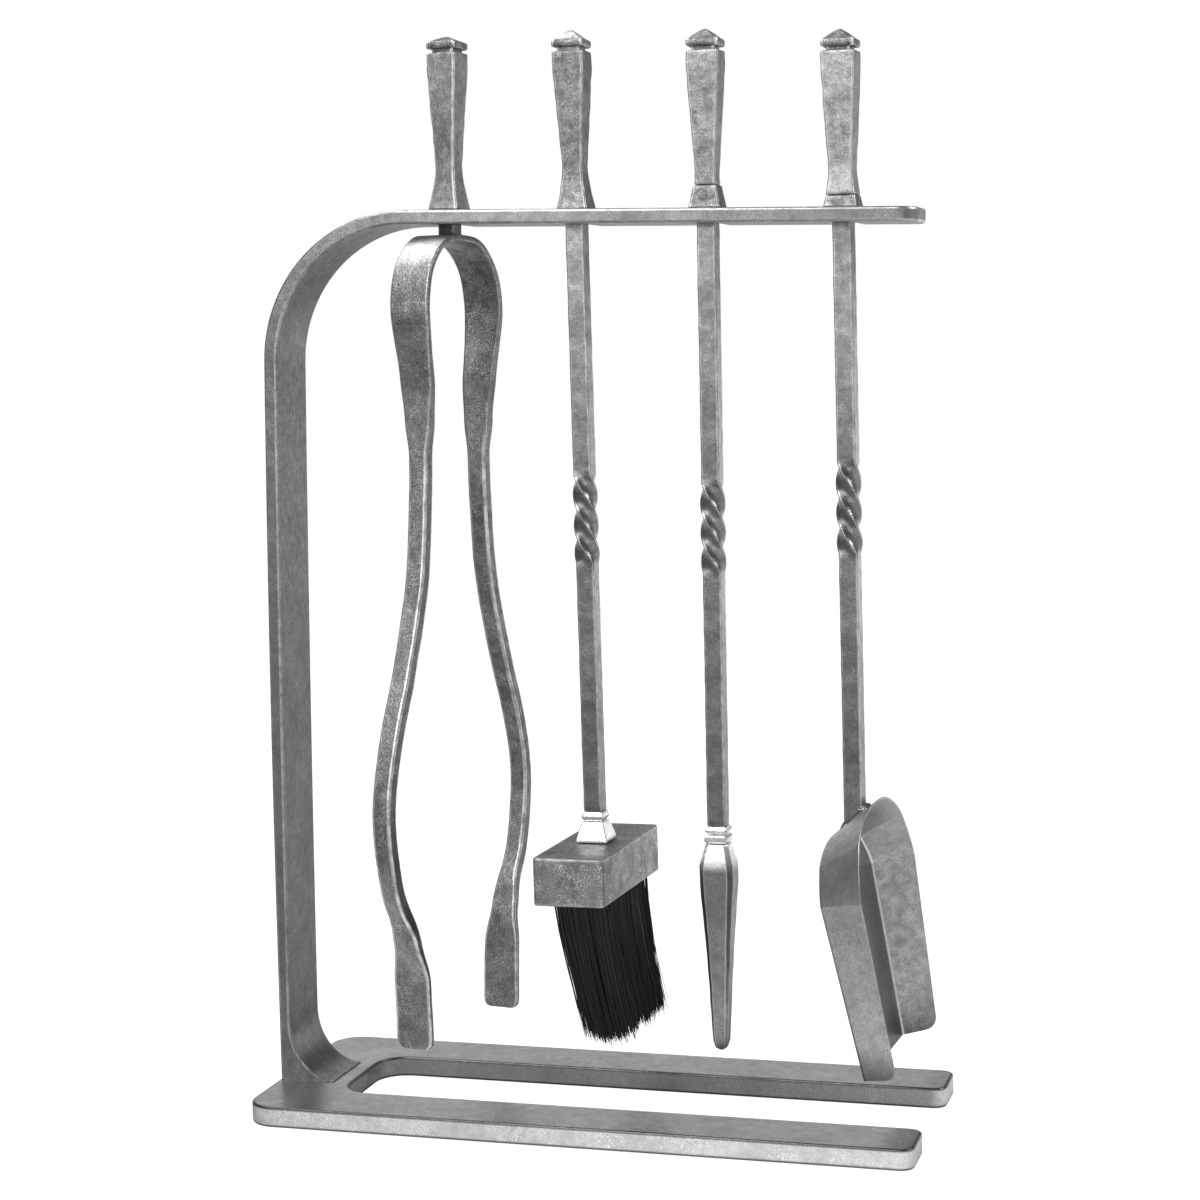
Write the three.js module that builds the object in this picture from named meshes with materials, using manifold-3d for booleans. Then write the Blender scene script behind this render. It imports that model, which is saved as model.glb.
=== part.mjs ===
// A hearth tool set of forged square steel: an arched stand with tongs, brush, poker and shovel.
// Millimetres, +Z up. X runs along the arm towards its free end, -Y is the front.
// Each tool hangs in a notch of the arm that is open to the back.
import * as THREE from "three";
import { mergeVertices } from "three/addons/utils/BufferGeometryUtils.js";
import Module from "manifold-3d";

const wasm = await Module();
wasm.setup();

const degrees = THREE.MathUtils.degToRad;
const lerp = THREE.MathUtils.lerp;
const SEAM = 0.3; // clearance between neighbouring pieces
const SEAT_GAP = 0.5; // clearance between the arm and what rests on it

// U-shaped foot plate: a heel under the upright and two legs, centred on X = Y = 0.
const BASE = {
  length: 446,
  depth: 176,
  thickness: 13.6,
  heel: 51,
  legWidth: 44.5,
  heelRadius: 20,
  slotRadius: 20,
  toeRadius: 9,
  edge: 1.5,
};

// One flat bar bent into foot, upright, bend and arm.
const BAR = {
  width: 50.8,
  thickness: 9.3,
  footX: -222.5, // outer face at the plate
  footThickness: 7.7,
  filletLength: 31, // the foot spreads along the plate
  filletHeight: 37,
  toe: 1.2,
  bendX: -117.9,
  bendZ: 500.7,
  bendRadius: 98.5,
  lean: 0.0243, // slope of the upright where the bend starts
  sag: 0.03, // the arm drops this much per mm towards its free end
  armEnd: 221,
  endRadius: 12,
};
const NOTCH = { width: 15.5, front: -7.75, cornerRadius: 2.5 };
const SCREW = { x: -212, spacing: 28, shank: 3, head: 5.7, headHeight: 3, recess: 0.5, length: 24 };

// Where each tool hangs on the arm, and how it hangs there.
const HANG = {
  tongs: { x: -91, turn: degrees(-8.3), lean: 0, tilt: -0.025 },
  brush: { x: -4, turn: degrees(-1.5), lean: -0.008, tilt: 0 },
  poker: { x: 83.6, turn: degrees(-0.6), lean: 0.002, tilt: 0 },
  shovel: { x: 171.2, turn: degrees(-2.5), lean: -0.006, tilt: 0 },
};

// Handles: a flared seat on the arm, a waist, and a head that widens to the cap.
const HANDLE = {
  tongs: { seat: 21.5, waist: 13.4, waistAt: 29, head: 20.4, top: 102, peak: 3.5 },
  brush: { seat: 21, waist: 13.5, waistAt: 28, head: 20.7, top: 101, peak: 6.2 },
  poker: { seat: 21, waist: 13.7, waistAt: 26, head: 20.8, top: 99.4, peak: 6.4, bolster: 15, step: 1.3 },
  shovel: { seat: 21.5, waist: 15.4, waistAt: 24.5, head: 21.2, top: 97, peak: 6.4, bolster: 8, step: 0.4 },
};
const FLARE = 1.6; // how quickly the seat narrows to the waist
const HEAD_LENGTH = 10; // straight stretch under the cap
const CAP = { neck: 15, groove: 2.4, slab: 5, edge: 0.8, tip: 1.2 };

// Square shafts with three quarter turns of twist; heights are above the floor.
const SHAFT = { side: 12.2, quarterTurns: 3, twistLength: 57.3, stepsPerTurn: 8 };
const TWIST_TOP = { brush: 424.3, poker: 418.3, shovel: 430.5 };
const CHAMFER = { shaft: 0.12, grip: 0.12, ferrule: 0.04, strip: 0.2, head: 0.3 }; // share of half a side

// Tongs: one symmetric strip. The path is half of it, as distance from the middle and height.
const TONGS = {
  neck: 11.6,
  bowTop: 580,
  offset: 5, // the strip hangs this far forward of its neck
  hingeHeight: 540,
  steps: 160,
  path: [
    [0, 580], [24, 577], [44, 560], [51, 537], [48.5, 514], [43, 488], [40.6, 450], [41.9, 410],
    [48.7, 356], [66.7, 303], [89, 250], [96.8, 211], [88, 163], [73, 136], [65, 108], [62.5, 80], [61.5, 55],
  ],
  // height, width and thickness of the strip
  sections: [
    [580, 27.5, 4.5], [535, 27.5, 4.5], [490, 23.5, 6], [462, 19, 8], [438, 13, 10],
    [150, 12.5, 10], [125, 18, 7], [100, 25.5, 4.8], [55, 26, 4.5],
  ],
  tipRadius: 5,
};

const BRUSH = {
  bead: [[195.9, 12.6], [197.9, 14.9], [199.9, 14.9], [201.9, 12.6]],
  ferrule: [[182, 21.7], [183.6, 21.7], [195.4, 14.6]],
  block: { bottom: 150, top: 181.5, width: 47.8, length: 125.5, wall: 3, edge: 1.5, radius: 3, middle: 1.2 },
  board: { bottom: 153 },
  bristles: { top: 152.6, bottom: 61, width: 31, length: 110, x: 1.7, y: 3, radius: 4 },
  sweep: { x: 0.19, y: -0.07, narrowing: 0.88 }, // how the bristles lean, and close up at their tips
};

const POKER = {
  bead: [[190.2, 13], [192.4, 15.4], [194.5, 13]],
  collar: [[183.5, 13.4], [184.8, 15.4], [187.6, 15.4], [188.9, 13.4]],
  head: [
    [45, 3.5], [46.5, 7], [51, 9.8], [64, 11.4], [91, 13.6],
    [118, 16.8], [145, 20.6], [157, 22.2], [169, 22.2], [182.9, 15.4],
  ],
};

// Shovel pan: a folded sheet tray that is open at the mouth. Its floor hangs close to upright.
const PAN = {
  sheet: 1.6,
  tilt: 0.195, // floor against the shaft
  turn: degrees(-0.1), // against its own shaft
  mouthX: 15, // floor at the mouth, from the shaft's axis
  mouthHeight: 45.7,
  length: 148.7,
  mouthHalf: 55.6,
  backHalf: 73,
  // Right-hand corner of the floor, from the end of the side wall to the flat back, with one
  // crease in the middle: distance from the middle, height above the mouth, and facing in degrees.
  corner: {
    side: [69.1, 114.7, 4],
    sideBend: [66.8, 123.2, 25],
    crease: [53, 136.9, 51],
    backBend: [36, 147.8, 74],
    back: [10, 148.7, 90],
  },
  wallAtMouth: 23.7,
  wallGrowth: 0.048,
  splay: 0.36, // side walls, outward per mm of height
  backSlope: 0.52, // back wall, outward per mm of height
  mouthRadius: 7,
};

const STEEL = { color: 0x8b8f90, metalness: 1, roughness: 0.45 };
const MATERIAL = {
  steel: new THREE.MeshStandardMaterial(STEEL),
  brightSteel: new THREE.MeshStandardMaterial({ color: 0xc9cbc9, metalness: 1, roughness: 0.28 }),
  darkSteel: new THREE.MeshStandardMaterial({ color: 0x4a4d4f, metalness: 1, roughness: 0.5 }),
  wood: new THREE.MeshStandardMaterial({ color: 0x6b5138, metalness: 0, roughness: 0.8 }),
  bristle: new THREE.MeshStandardMaterial({ color: 0x0c0c0d, metalness: 0, roughness: 0.4 }),
};

// --- Geometry helpers ---

// Sweeps a unit outline through stations; each has a centre and two half axes, u across and v up.
function loft(outline, stations) {
  const steps = stations.length - 1;
  const geometry = new THREE.ExtrudeGeometry(outline, { depth: steps, steps, bevelEnabled: false });
  const position = geometry.getAttribute("position");
  const point = new THREE.Vector3();
  for (let i = 0; i < position.count; i++) {
    const { at, u, v } = stations[Math.round(position.getZ(i))];
    point.copy(at);
    point.addScaledVector(u, position.getX(i));
    point.addScaledVector(v, position.getY(i));
    position.setXYZ(i, point.x, point.y, point.z);
  }
  geometry.computeVertexNormals();
  return geometry;
}

// Square of half side 1 with its corners cut by a share of that half side.
function chamferedSquare(chamfer) {
  const flat = 1 - chamfer;
  const middle = new THREE.Vector2();
  const points = [];
  for (let side = 0; side < 4; side++) {
    const angle = (side * Math.PI) / 2;
    points.push(new THREE.Vector2(1, -flat).rotateAround(middle, angle));
    points.push(new THREE.Vector2(1, flat).rotateAround(middle, angle));
  }
  return new THREE.Shape(points);
}

// One level of an upright square bar. A slope tilts the level along X.
function squareLevel(height, side, turn = 0, slope = 0) {
  const half = side / 2;
  const u = new THREE.Vector3(half * Math.cos(turn), half * Math.sin(turn), 0);
  const v = new THREE.Vector3(-half * Math.sin(turn), half * Math.cos(turn), 0);
  u.z = slope * u.x;
  v.z = slope * v.x;
  return { at: new THREE.Vector3(0, 0, height), u, v };
}

function squareBar(levels, chamfer) {
  return loft(chamferedSquare(chamfer), levels.map((level) => squareLevel(...level)));
}

function roundedRectangle(width, length, radius) {
  const x = width / 2;
  const y = length / 2;
  const shape = new THREE.Shape();
  shape.absarc(x - radius, y - radius, radius, 0, Math.PI / 2);
  shape.absarc(radius - x, y - radius, radius, Math.PI / 2, Math.PI);
  shape.absarc(radius - x, radius - y, radius, Math.PI, Math.PI * 1.5);
  shape.absarc(x - radius, radius - y, radius, Math.PI * 1.5, Math.PI * 2);
  return traced(shape, 2);
}

// Outline as single points: where two curves meet, the rounding of numbers leaves two points.
function traced(shape, curveSegments) {
  const points = shape.getPoints(curveSegments);
  const apart = (point, i) => point.distanceTo(points.at(i - 1)) > 1e-3;
  return new THREE.Shape(points.filter(apart));
}

// Body turned about Z from [radius, height] points that start and end on the axis.
function turned(profile, segments = 20) {
  const points = profile.map(([radius, height]) => new THREE.Vector2(radius, height));
  return new THREE.LatheGeometry(points, segments).rotateX(Math.PI / 2);
}

function solidOf(geometry) {
  const bare = geometry.clone();
  bare.deleteAttribute("normal");
  bare.deleteAttribute("uv");
  const merged = mergeVertices(bare, 1e-3);
  return new wasm.Manifold(
    new wasm.Mesh({
      numProp: 3,
      vertProperties: merged.getAttribute("position").array,
      triVerts: new Uint32Array(merged.index.array),
    }),
  );
}

function geometryOf(solid) {
  const mesh = solid.getMesh();
  const geometry = new THREE.BufferGeometry();
  geometry.setAttribute("position", new THREE.BufferAttribute(mesh.vertProperties, 3));
  geometry.setIndex(new THREE.BufferAttribute(mesh.triVerts, 1));
  geometry.computeVertexNormals();
  return geometry;
}

function addPiece(group, name, geometry, material = MATERIAL.steel) {
  const mesh = new THREE.Mesh(geometry, material.clone());
  mesh.name = name;
  group.add(mesh);
  return mesh;
}

// --- Stand ---

function basePlate() {
  const right = BASE.length / 2;
  const front = BASE.depth / 2;
  const slot = front - BASE.legWidth;
  const slotEnd = BASE.heel - right;
  const { heelRadius: heel, slotRadius: inner, toeRadius: toe } = BASE;
  const quarter = Math.PI / 2;
  const shape = new THREE.Shape();
  shape.absarc(heel - right, heel - front, heel, 2 * quarter, 3 * quarter);
  shape.absarc(right - toe, toe - front, toe, 3 * quarter, 4 * quarter);
  shape.absarc(right - toe, -slot - toe, toe, 0, quarter);
  shape.absarc(slotEnd + inner, inner - slot, inner, 3 * quarter, 2 * quarter, true);
  shape.absarc(slotEnd + inner, slot - inner, inner, 2 * quarter, quarter, true);
  shape.absarc(right - toe, slot + toe, toe, 3 * quarter, 4 * quarter);
  shape.absarc(right - toe, front - toe, toe, 0, quarter);
  shape.absarc(heel - right, front - heel, heel, quarter, 2 * quarter);
  const plate = new THREE.ExtrudeGeometry(traced(shape, 4), {
    depth: BASE.thickness - 2 * BASE.edge,
    bevelThickness: BASE.edge,
    bevelSize: BASE.edge,
    bevelOffset: -BASE.edge,
    bevelSegments: 2,
  });
  plate.translate(0, 0, BASE.edge);
  return screwPlaces().reduce(
    (body, y) => body.subtract(solidOf(screwHole().translate(SCREW.x, y, 0))),
    solidOf(plate),
  );
}

function screwPlaces() {
  return [-SCREW.spacing / 2, SCREW.spacing / 2];
}

// Countersunk clearance hole through the plate and into the foot.
function screwHole() {
  const bore = SCREW.shank + SEAM;
  const sink = SCREW.head + SEAM;
  const coneTop = SCREW.recess + SCREW.headHeight;
  const depth = SCREW.length + SEAM;
  return turned([[0, -1], [sink, -1], [sink, SCREW.recess], [bore, coneTop], [bore, depth], [0, depth]]);
}

function screw() {
  const { recess, headHeight, head, shank, length } = SCREW;
  const body = turned([[0, recess], [head, recess], [shank, recess + headHeight], [shank, length], [0, length]]);
  const socket = new THREE.CylinderGeometry(2.3, 2.3, 4, 6).rotateX(Math.PI / 2).translate(0, 0, recess);
  return geometryOf(solidOf(body).subtract(solidOf(socket)));
}

function armTop(x) {
  const topX = BAR.bendX + BAR.bendRadius * Math.sin(BAR.sag);
  const topZ = BAR.bendZ + BAR.bendRadius * Math.cos(BAR.sag);
  return topZ - BAR.sag * (x - topX);
}

// Side outline of the bar in X and Z, up the outer face and back along the inner one.
function barSide() {
  const bottom = BASE.thickness + SEAM;
  const inner = BAR.bendRadius - BAR.thickness;
  const start = Math.PI - BAR.lean;
  const end = Math.PI / 2 - BAR.sag;
  const innerFootX = BAR.footX + BAR.footThickness;
  const filletTop = bottom + BAR.toe + BAR.filletHeight;
  const innerTop = BAR.bendZ + inner * Math.sin(start);
  const middle = (filletTop + innerTop) / 2;
  const control = BAR.bendX + inner * Math.cos(start) - BAR.lean * (innerTop - middle);
  const armEnd = BAR.armEnd + 5;
  const shape = new THREE.Shape();
  shape.moveTo(BAR.footX, bottom);
  shape.quadraticCurveTo(
    BAR.footX,
    (bottom + BAR.bendZ) / 2,
    BAR.bendX + BAR.bendRadius * Math.cos(start),
    BAR.bendZ + BAR.bendRadius * Math.sin(start),
  );
  shape.absarc(BAR.bendX, BAR.bendZ, BAR.bendRadius, start, end, true);
  shape.lineTo(armEnd, armTop(armEnd));
  shape.lineTo(armEnd, armTop(armEnd) - BAR.thickness);
  shape.absarc(BAR.bendX, BAR.bendZ, inner, end, start);
  shape.quadraticCurveTo(control, middle, innerFootX, filletTop);
  shape.absellipse(
    innerFootX + BAR.filletLength,
    filletTop,
    BAR.filletLength,
    BAR.filletHeight,
    Math.PI,
    Math.PI * 1.5,
  );
  shape.lineTo(innerFootX + BAR.filletLength, bottom);
  return shape;
}

// Plan outline of the bar in X and Y: a rounded free end and four notches open to the back.
function barPlan() {
  const half = BAR.width / 2;
  const left = BAR.footX - 10;
  const end = BAR.armEnd - BAR.endRadius;
  const shape = new THREE.Shape();
  shape.moveTo(left, -half);
  shape.lineTo(end, -half);
  shape.absarc(end, BAR.endRadius - half, BAR.endRadius, -Math.PI / 2, 0);
  shape.absarc(end, half - BAR.endRadius, BAR.endRadius, 0, Math.PI / 2);
  const places = Object.values(HANG).map((hang) => hang.x);
  for (const x of places.reverse()) {
    const side = NOTCH.width / 2;
    const radius = NOTCH.cornerRadius;
    const inset = side - radius;
    shape.lineTo(x + side, half);
    shape.absarc(x + inset, NOTCH.front + radius, radius, 0, -Math.PI / 2, true);
    shape.absarc(x - inset, NOTCH.front + radius, radius, -Math.PI / 2, -Math.PI, true);
    shape.lineTo(x - side, half);
  }
  shape.lineTo(left, half);
  return shape;
}

function standBar() {
  const side = new THREE.ExtrudeGeometry(traced(barSide(), 14), {
    depth: BAR.width,
    bevelEnabled: false,
  });
  side.rotateX(Math.PI / 2).translate(0, BAR.width / 2, 0);
  const plan = new THREE.ExtrudeGeometry(traced(barPlan(), 3), {
    depth: 2 * BAR.bendZ,
    bevelEnabled: false,
  });
  return screwPlaces().reduce(
    (body, y) => body.subtract(solidOf(screwHole().translate(SCREW.x, y, 0))),
    solidOf(side).intersect(solidOf(plan)),
  );
}

function buildStand() {
  const stand = new THREE.Group();
  addPiece(stand, "base_plate", geometryOf(basePlate()));
  addPiece(stand, "stand_bar", geometryOf(standBar()));
  const [front, back] = screwPlaces();
  addPiece(stand, "foot_screw_front", screw(), MATERIAL.darkSteel).position.set(SCREW.x, front, 0);
  addPiece(stand, "foot_screw_back", screw(), MATERIAL.darkSteel).position.set(SCREW.x, back, 0);
  return stand;
}

// --- Parts that all tools share ---

// A group whose origin is the arm's top surface on the tool's axis.
function hangingGroup(name) {
  const { x, turn, lean, tilt } = HANG[name];
  const group = new THREE.Group();
  group.position.set(x, 0, armTop(x));
  group.rotation.set(tilt, lean, turn, "ZYX");
  return group;
}

// Heights above the floor, turned into heights above the arm at one tool.
function belowArm(name, levels) {
  return levels.map(([height, ...rest]) => [height - armTop(HANG[name].x), ...rest]);
}

function gripSide(spec, height) {
  if (height < spec.waistAt) {
    const share = (spec.waistAt - height) / spec.waistAt;
    return spec.waist + (spec.seat - spec.waist) * share ** FLARE;
  }
  const share = (height - spec.waistAt) / (spec.top - HEAD_LENGTH - spec.waistAt);
  return lerp(spec.waist, spec.head, Math.min(share, 1));
}

// Levels of the flare between two heights, which may be narrower than the seat below it.
function flareLevels(spec, from, to, count, narrower = 0) {
  const levels = [];
  for (let i = 0; i <= count; i++) {
    const height = lerp(from, to, i / count);
    const inset = (narrower * (spec.waistAt - height)) / (spec.waistAt - from);
    levels.push([height, gripSide(spec, height) - inset]);
  }
  return levels;
}

// Slope of the arm's top as a tool sees it.
function seatSlope(name) {
  return HANG[name].lean - BAR.sag;
}

// Gives the lowest level the slope of the arm that it rests on.
function seated(name, [[height, side], ...rest]) {
  return [[height, side, 0, seatSlope(name)], ...rest];
}

function buildHandle(group, name) {
  const spec = HANDLE[name];
  const headStart = spec.top - HEAD_LENGTH;
  const head = [headStart, spec.top].map((height) => [height, gripSide(spec, height)]);
  if (spec.bolster) {
    const bolster = flareLevels(spec, SEAT_GAP, spec.bolster - SEAM / 2, 5);
    const grip = flareLevels(spec, spec.bolster + SEAM / 2, spec.waistAt, 5, spec.step);
    addPiece(group, name + "_bolster", squareBar(seated(name, bolster), CHAMFER.grip));
    addPiece(group, name + "_grip", squareBar([...grip, ...head], CHAMFER.grip));
  } else {
    const grip = flareLevels(spec, SEAT_GAP, spec.waistAt, 8);
    addPiece(group, name + "_grip", squareBar([...seated(name, grip), ...head], CHAMFER.grip));
  }
  addPiece(group, name + "_cap", squareBar(capLevels(spec), CHAMFER.grip));
}

// A narrow neck, a square slab with eased edges and a low pyramid.
function capLevels(spec) {
  const slab = spec.top + CAP.groove;
  const shoulder = slab + CAP.slab;
  const eased = spec.head - 2 * CAP.edge;
  return [
    [spec.top + SEAM, CAP.neck],
    [slab, CAP.neck],
    [slab, eased],
    [slab + CAP.edge, spec.head],
    [shoulder - CAP.edge, spec.head],
    [shoulder, eased],
    [shoulder + spec.peak, CAP.tip],
  ];
}

// Square bar from the arm down to a height, with its twisted stretch.
function shaftLevels(name, bottom, bottomSlope = 0) {
  const { side, quarterTurns, twistLength, stepsPerTurn } = SHAFT;
  const top = TWIST_TOP[name] - armTop(HANG[name].x);
  const steps = quarterTurns * stepsPerTurn;
  const whole = (quarterTurns * Math.PI) / 2;
  const levels = [[bottom - armTop(HANG[name].x), side, whole, bottomSlope]];
  for (let i = steps; i >= 0; i--) {
    const share = i / steps;
    levels.push([top - share * twistLength, side, share * whole]);
  }
  levels.push([SEAT_GAP - SEAM, side, 0, seatSlope(name)]);
  return levels;
}

function addShaft(group, name, bottom, bottomSlope) {
  addPiece(group, name + "_shaft", squareBar(shaftLevels(name, bottom, bottomSlope), CHAMFER.shaft));
}

// --- Tongs ---

// Width and thickness of the strip at a height, eased between the named sections.
function stripSection(height) {
  const { sections } = TONGS;
  const next = sections.findIndex(([level]) => level <= height);
  if (next <= 0) return next === 0 ? sections[0].slice(1) : sections.at(-1).slice(1);
  const [high, ...above] = sections[next - 1];
  const [low, ...below] = sections[next];
  const share = (high - height) / (high - low);
  return above.map((size, i) => lerp(size, below[i], share));
}

function stripStation(at, along, height, widthShare = 1, thicknessShare = 1) {
  const [width, thickness] = stripSection(height);
  const across = new THREE.Vector3(1, 0, 0);
  const outward = new THREE.Vector3().crossVectors(along, across);
  return {
    at,
    u: across.multiplyScalar((width / 2) * widthShare),
    v: outward.multiplyScalar((thickness / 2) * thicknessShare),
  };
}

// Stations that round an end off: in thickness about a hinge, or in width at a tip.
function endStations(end, outwards, height, radius, inWidth) {
  const half = stripSection(height)[0] / 2;
  return [85, 65, 45, 22].map((angle) => {
    const reach = radius * Math.sin(degrees(angle));
    const left = Math.cos(degrees(angle));
    const at = end.clone().addScaledVector(outwards, reach);
    const along = outwards.clone();
    return inWidth
      ? stripStation(at, along, height, (half - radius + radius * left) / half)
      : stripStation(at, along.negate(), height, 1, left);
  });
}

function buildTongs() {
  const group = hangingGroup("tongs");
  const seat = armTop(HANG.tongs.x);
  buildHandle(group, "tongs");
  const neck = [
    [TONGS.bowTop + TONGS.sections[0][2] / 2 + SEAM - seat, TONGS.neck],
    [SEAT_GAP - SEAM, TONGS.neck, 0, seatSlope("tongs")],
  ];
  addPiece(group, "tongs_neck", squareBar(neck, CHAMFER.shaft), MATERIAL.darkSteel);

  const half = TONGS.path.map(([reach, height]) => new THREE.Vector3(0, reach, height - seat));
  const mirrored = half.slice(1).map((point) => point.clone().setY(-point.y));
  const curve = new THREE.CatmullRomCurve3([...half.reverse(), ...mirrored], false, "centripetal");
  const points = curve.getSpacedPoints(TONGS.steps);
  const tangents = points.map((_, i) => curve.getTangentAt(i / TONGS.steps));
  const heightOf = (point) => point.z + seat;
  const station = (i) => stripStation(points[i], tangents[i], heightOf(points[i]));
  const hinge = points.findIndex((point) => heightOf(point) > TONGS.hingeHeight);
  const outline = chamferedSquare(CHAMFER.strip);
  const strip = new THREE.Group();
  strip.position.y = -TONGS.offset;
  group.add(strip);

  const hingeRadius = TONGS.sections[0][2] / 2;
  const last = TONGS.steps - hinge;
  const clear = hingeRadius + SEAM;
  const bowEnd = (i, sign) =>
    stripStation(points[i].clone().addScaledVector(tangents[i], sign * clear), tangents[i], TONGS.bowTop);
  const bow = [bowEnd(hinge, 1)];
  for (let i = hinge + 1; i < last; i++) bow.push(station(i));
  bow.push(bowEnd(last, -1));
  addPiece(strip, "tongs_bow", loft(outline, bow));

  // The legs run from the hinge down to the tip.
  for (const [name, side] of [["tongs_front_leg", -1], ["tongs_back_leg", 1]]) {
    const mirror = new THREE.Vector3(1, side, 1);
    const at = (i) => points[i].clone().multiply(mirror);
    const down = (i) => tangents[i].clone().negate().multiply(mirror);
    const leg = endStations(at(hinge), down(hinge).negate(), TONGS.hingeHeight, hingeRadius, false);
    for (let i = hinge; i > 0; i--) leg.push(stripStation(at(i), down(i), heightOf(points[i])));
    const tip = at(0).addScaledVector(down(0), -TONGS.tipRadius);
    leg.push(...endStations(tip, down(0), heightOf(points[0]), TONGS.tipRadius, true).reverse());
    addPiece(strip, name, loft(outline, leg));
  }
  return group;
}

// --- Brush ---

function brushBlock() {
  const { bottom, top, width, length, wall, edge, radius } = BRUSH.block;
  const outer = new THREE.ExtrudeGeometry(roundedRectangle(width, length, radius), {
    depth: top - bottom - 2 * edge,
    bevelThickness: edge,
    bevelSize: edge,
    bevelOffset: -edge,
    bevelSegments: 2,
  });
  outer.translate(0, 0, bottom + edge);
  const hollow = new THREE.BoxGeometry(width - 2 * wall, length - 2 * wall, top - wall - bottom + 5);
  hollow.translate(0, 0, (top - wall + bottom - 5) / 2);
  return geometryOf(solidOf(outer).subtract(solidOf(hollow)));
}

function brushBoard() {
  const { top, width, length, wall } = BRUSH.block;
  const inset = 2 * (wall + SEAM);
  const height = top - wall - SEAM - BRUSH.board.bottom;
  const board = new THREE.BoxGeometry(width - inset, length - inset, height);
  return board.translate(0, 0, BRUSH.board.bottom + height / 2);
}

// Envelope of the bristles, which lean towards the arm's free end.
function bristleBundle() {
  const { top, bottom, width, length, x, y, radius } = BRUSH.bristles;
  const { sweep } = BRUSH;
  const level = (height, share) => ({
    at: new THREE.Vector3(x + sweep.x * (top - height), y + sweep.y * (top - height), height),
    u: new THREE.Vector3(share, 0, 0),
    v: new THREE.Vector3(0, share, 0),
  });
  return loft(roundedRectangle(width, length, radius), [level(bottom, sweep.narrowing), level(top, 1)]);
}

function buildBrush() {
  const group = hangingGroup("brush");
  buildHandle(group, "brush");
  addShaft(group, "brush", BRUSH.bead.at(-1)[0] + SEAM);
  addPiece(group, "brush_bead", squareBar(belowArm("brush", BRUSH.bead), CHAMFER.shaft), MATERIAL.brightSteel);
  addPiece(group, "brush_ferrule", squareBar(belowArm("brush", BRUSH.ferrule), CHAMFER.ferrule), MATERIAL.brightSteel);
  const floor = new THREE.Group();
  floor.position.set(0, BRUSH.block.middle, -armTop(HANG.brush.x));
  group.add(floor);
  addPiece(floor, "brush_block", brushBlock());
  addPiece(floor, "brush_board", brushBoard(), MATERIAL.wood);
  addPiece(floor, "brush_bristles", bristleBundle(), MATERIAL.bristle);
  return group;
}

// --- Poker ---

function buildPoker() {
  const group = hangingGroup("poker");
  buildHandle(group, "poker");
  addShaft(group, "poker", POKER.bead.at(-1)[0] + SEAM);
  addPiece(group, "poker_bead", squareBar(belowArm("poker", POKER.bead), CHAMFER.shaft), MATERIAL.brightSteel);
  addPiece(group, "poker_collar", squareBar(belowArm("poker", POKER.collar), CHAMFER.shaft), MATERIAL.brightSteel);
  addPiece(group, "poker_head", squareBar(belowArm("poker", POKER.head), CHAMFER.head));
  return group;
}

// --- Shovel ---

// Tray-shaped block in the pan's own frame: X up from the floor, Y across, Z from mouth to back.
// An inset makes the hollow that the sheet surrounds.
function trayBlock(inset, mouth, height) {
  const halfAt = (z) => lerp(PAN.mouthHalf, PAN.backHalf, z / PAN.length) - inset;
  const moved = ([y, z, facing]) => [
    y - inset * Math.cos(degrees(facing)),
    z - inset * Math.sin(degrees(facing)),
  ];
  const { side, sideBend, crease, backBend, back } = PAN.corner;
  const right = [side, sideBend, crease, backBend, back].map(moved);
  const left = right.map(([y, z]) => [-y, z]);
  const shape = new THREE.Shape();
  shape.moveTo(-halfAt(mouth), mouth);
  shape.lineTo(halfAt(mouth), mouth);
  shape.lineTo(...right[0]);
  shape.quadraticCurveTo(...right[1], ...right[2]);
  shape.quadraticCurveTo(...right[3], ...right[4]);
  shape.lineTo(...left[4]);
  shape.quadraticCurveTo(...left[3], ...left[2]);
  shape.quadraticCurveTo(...left[1], ...left[0]);
  const block = new THREE.ExtrudeGeometry(traced(shape, 4), { depth: 1, bevelEnabled: false });
  const position = block.getAttribute("position");
  for (let i = 0; i < position.count; i++) {
    const y = position.getX(i);
    const z = position.getY(i);
    const rise = position.getZ(i) * height;
    const backShare = Math.max(0, z - side[1]) / (back[1] - side[1]);
    const sideShare = Math.max(0, Math.abs(y) - back[0]) / (side[0] - back[0]);
    const round = Math.atan2(backShare, sideShare);
    const outY = Math.sign(y) * PAN.splay * rise * Math.cos(round);
    const outZ = PAN.backSlope * rise * Math.sin(round);
    position.setXYZ(i, inset + rise, y + outY, z + outZ);
  }
  return solidOf(block);
}

// Rim line of the walls and their rounded ends at the mouth, as a block to trim with.
function rimTrim() {
  const far = PAN.length + 60;
  const radius = PAN.mouthRadius;
  const shape = new THREE.Shape();
  shape.moveTo(0, -5);
  shape.lineTo(far, -5);
  shape.lineTo(far, PAN.wallAtMouth + PAN.wallGrowth * far);
  shape.lineTo(radius, PAN.wallAtMouth + PAN.wallGrowth * radius);
  shape.absarc(radius, PAN.wallAtMouth - radius, radius, Math.PI / 2, Math.PI);
  const depth = 4 * PAN.backHalf;
  const block = new THREE.ExtrudeGeometry(traced(shape, 3), { depth, bevelEnabled: false });
  // The outline's X becomes Z, its Y becomes X, and its depth runs along Y.
  const swap = new THREE.Matrix4().makeBasis(
    new THREE.Vector3(0, 0, 1),
    new THREE.Vector3(1, 0, 0),
    new THREE.Vector3(0, 1, 0),
  );
  return solidOf(block.applyMatrix4(swap).translate(0, -depth / 2, 0));
}

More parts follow.
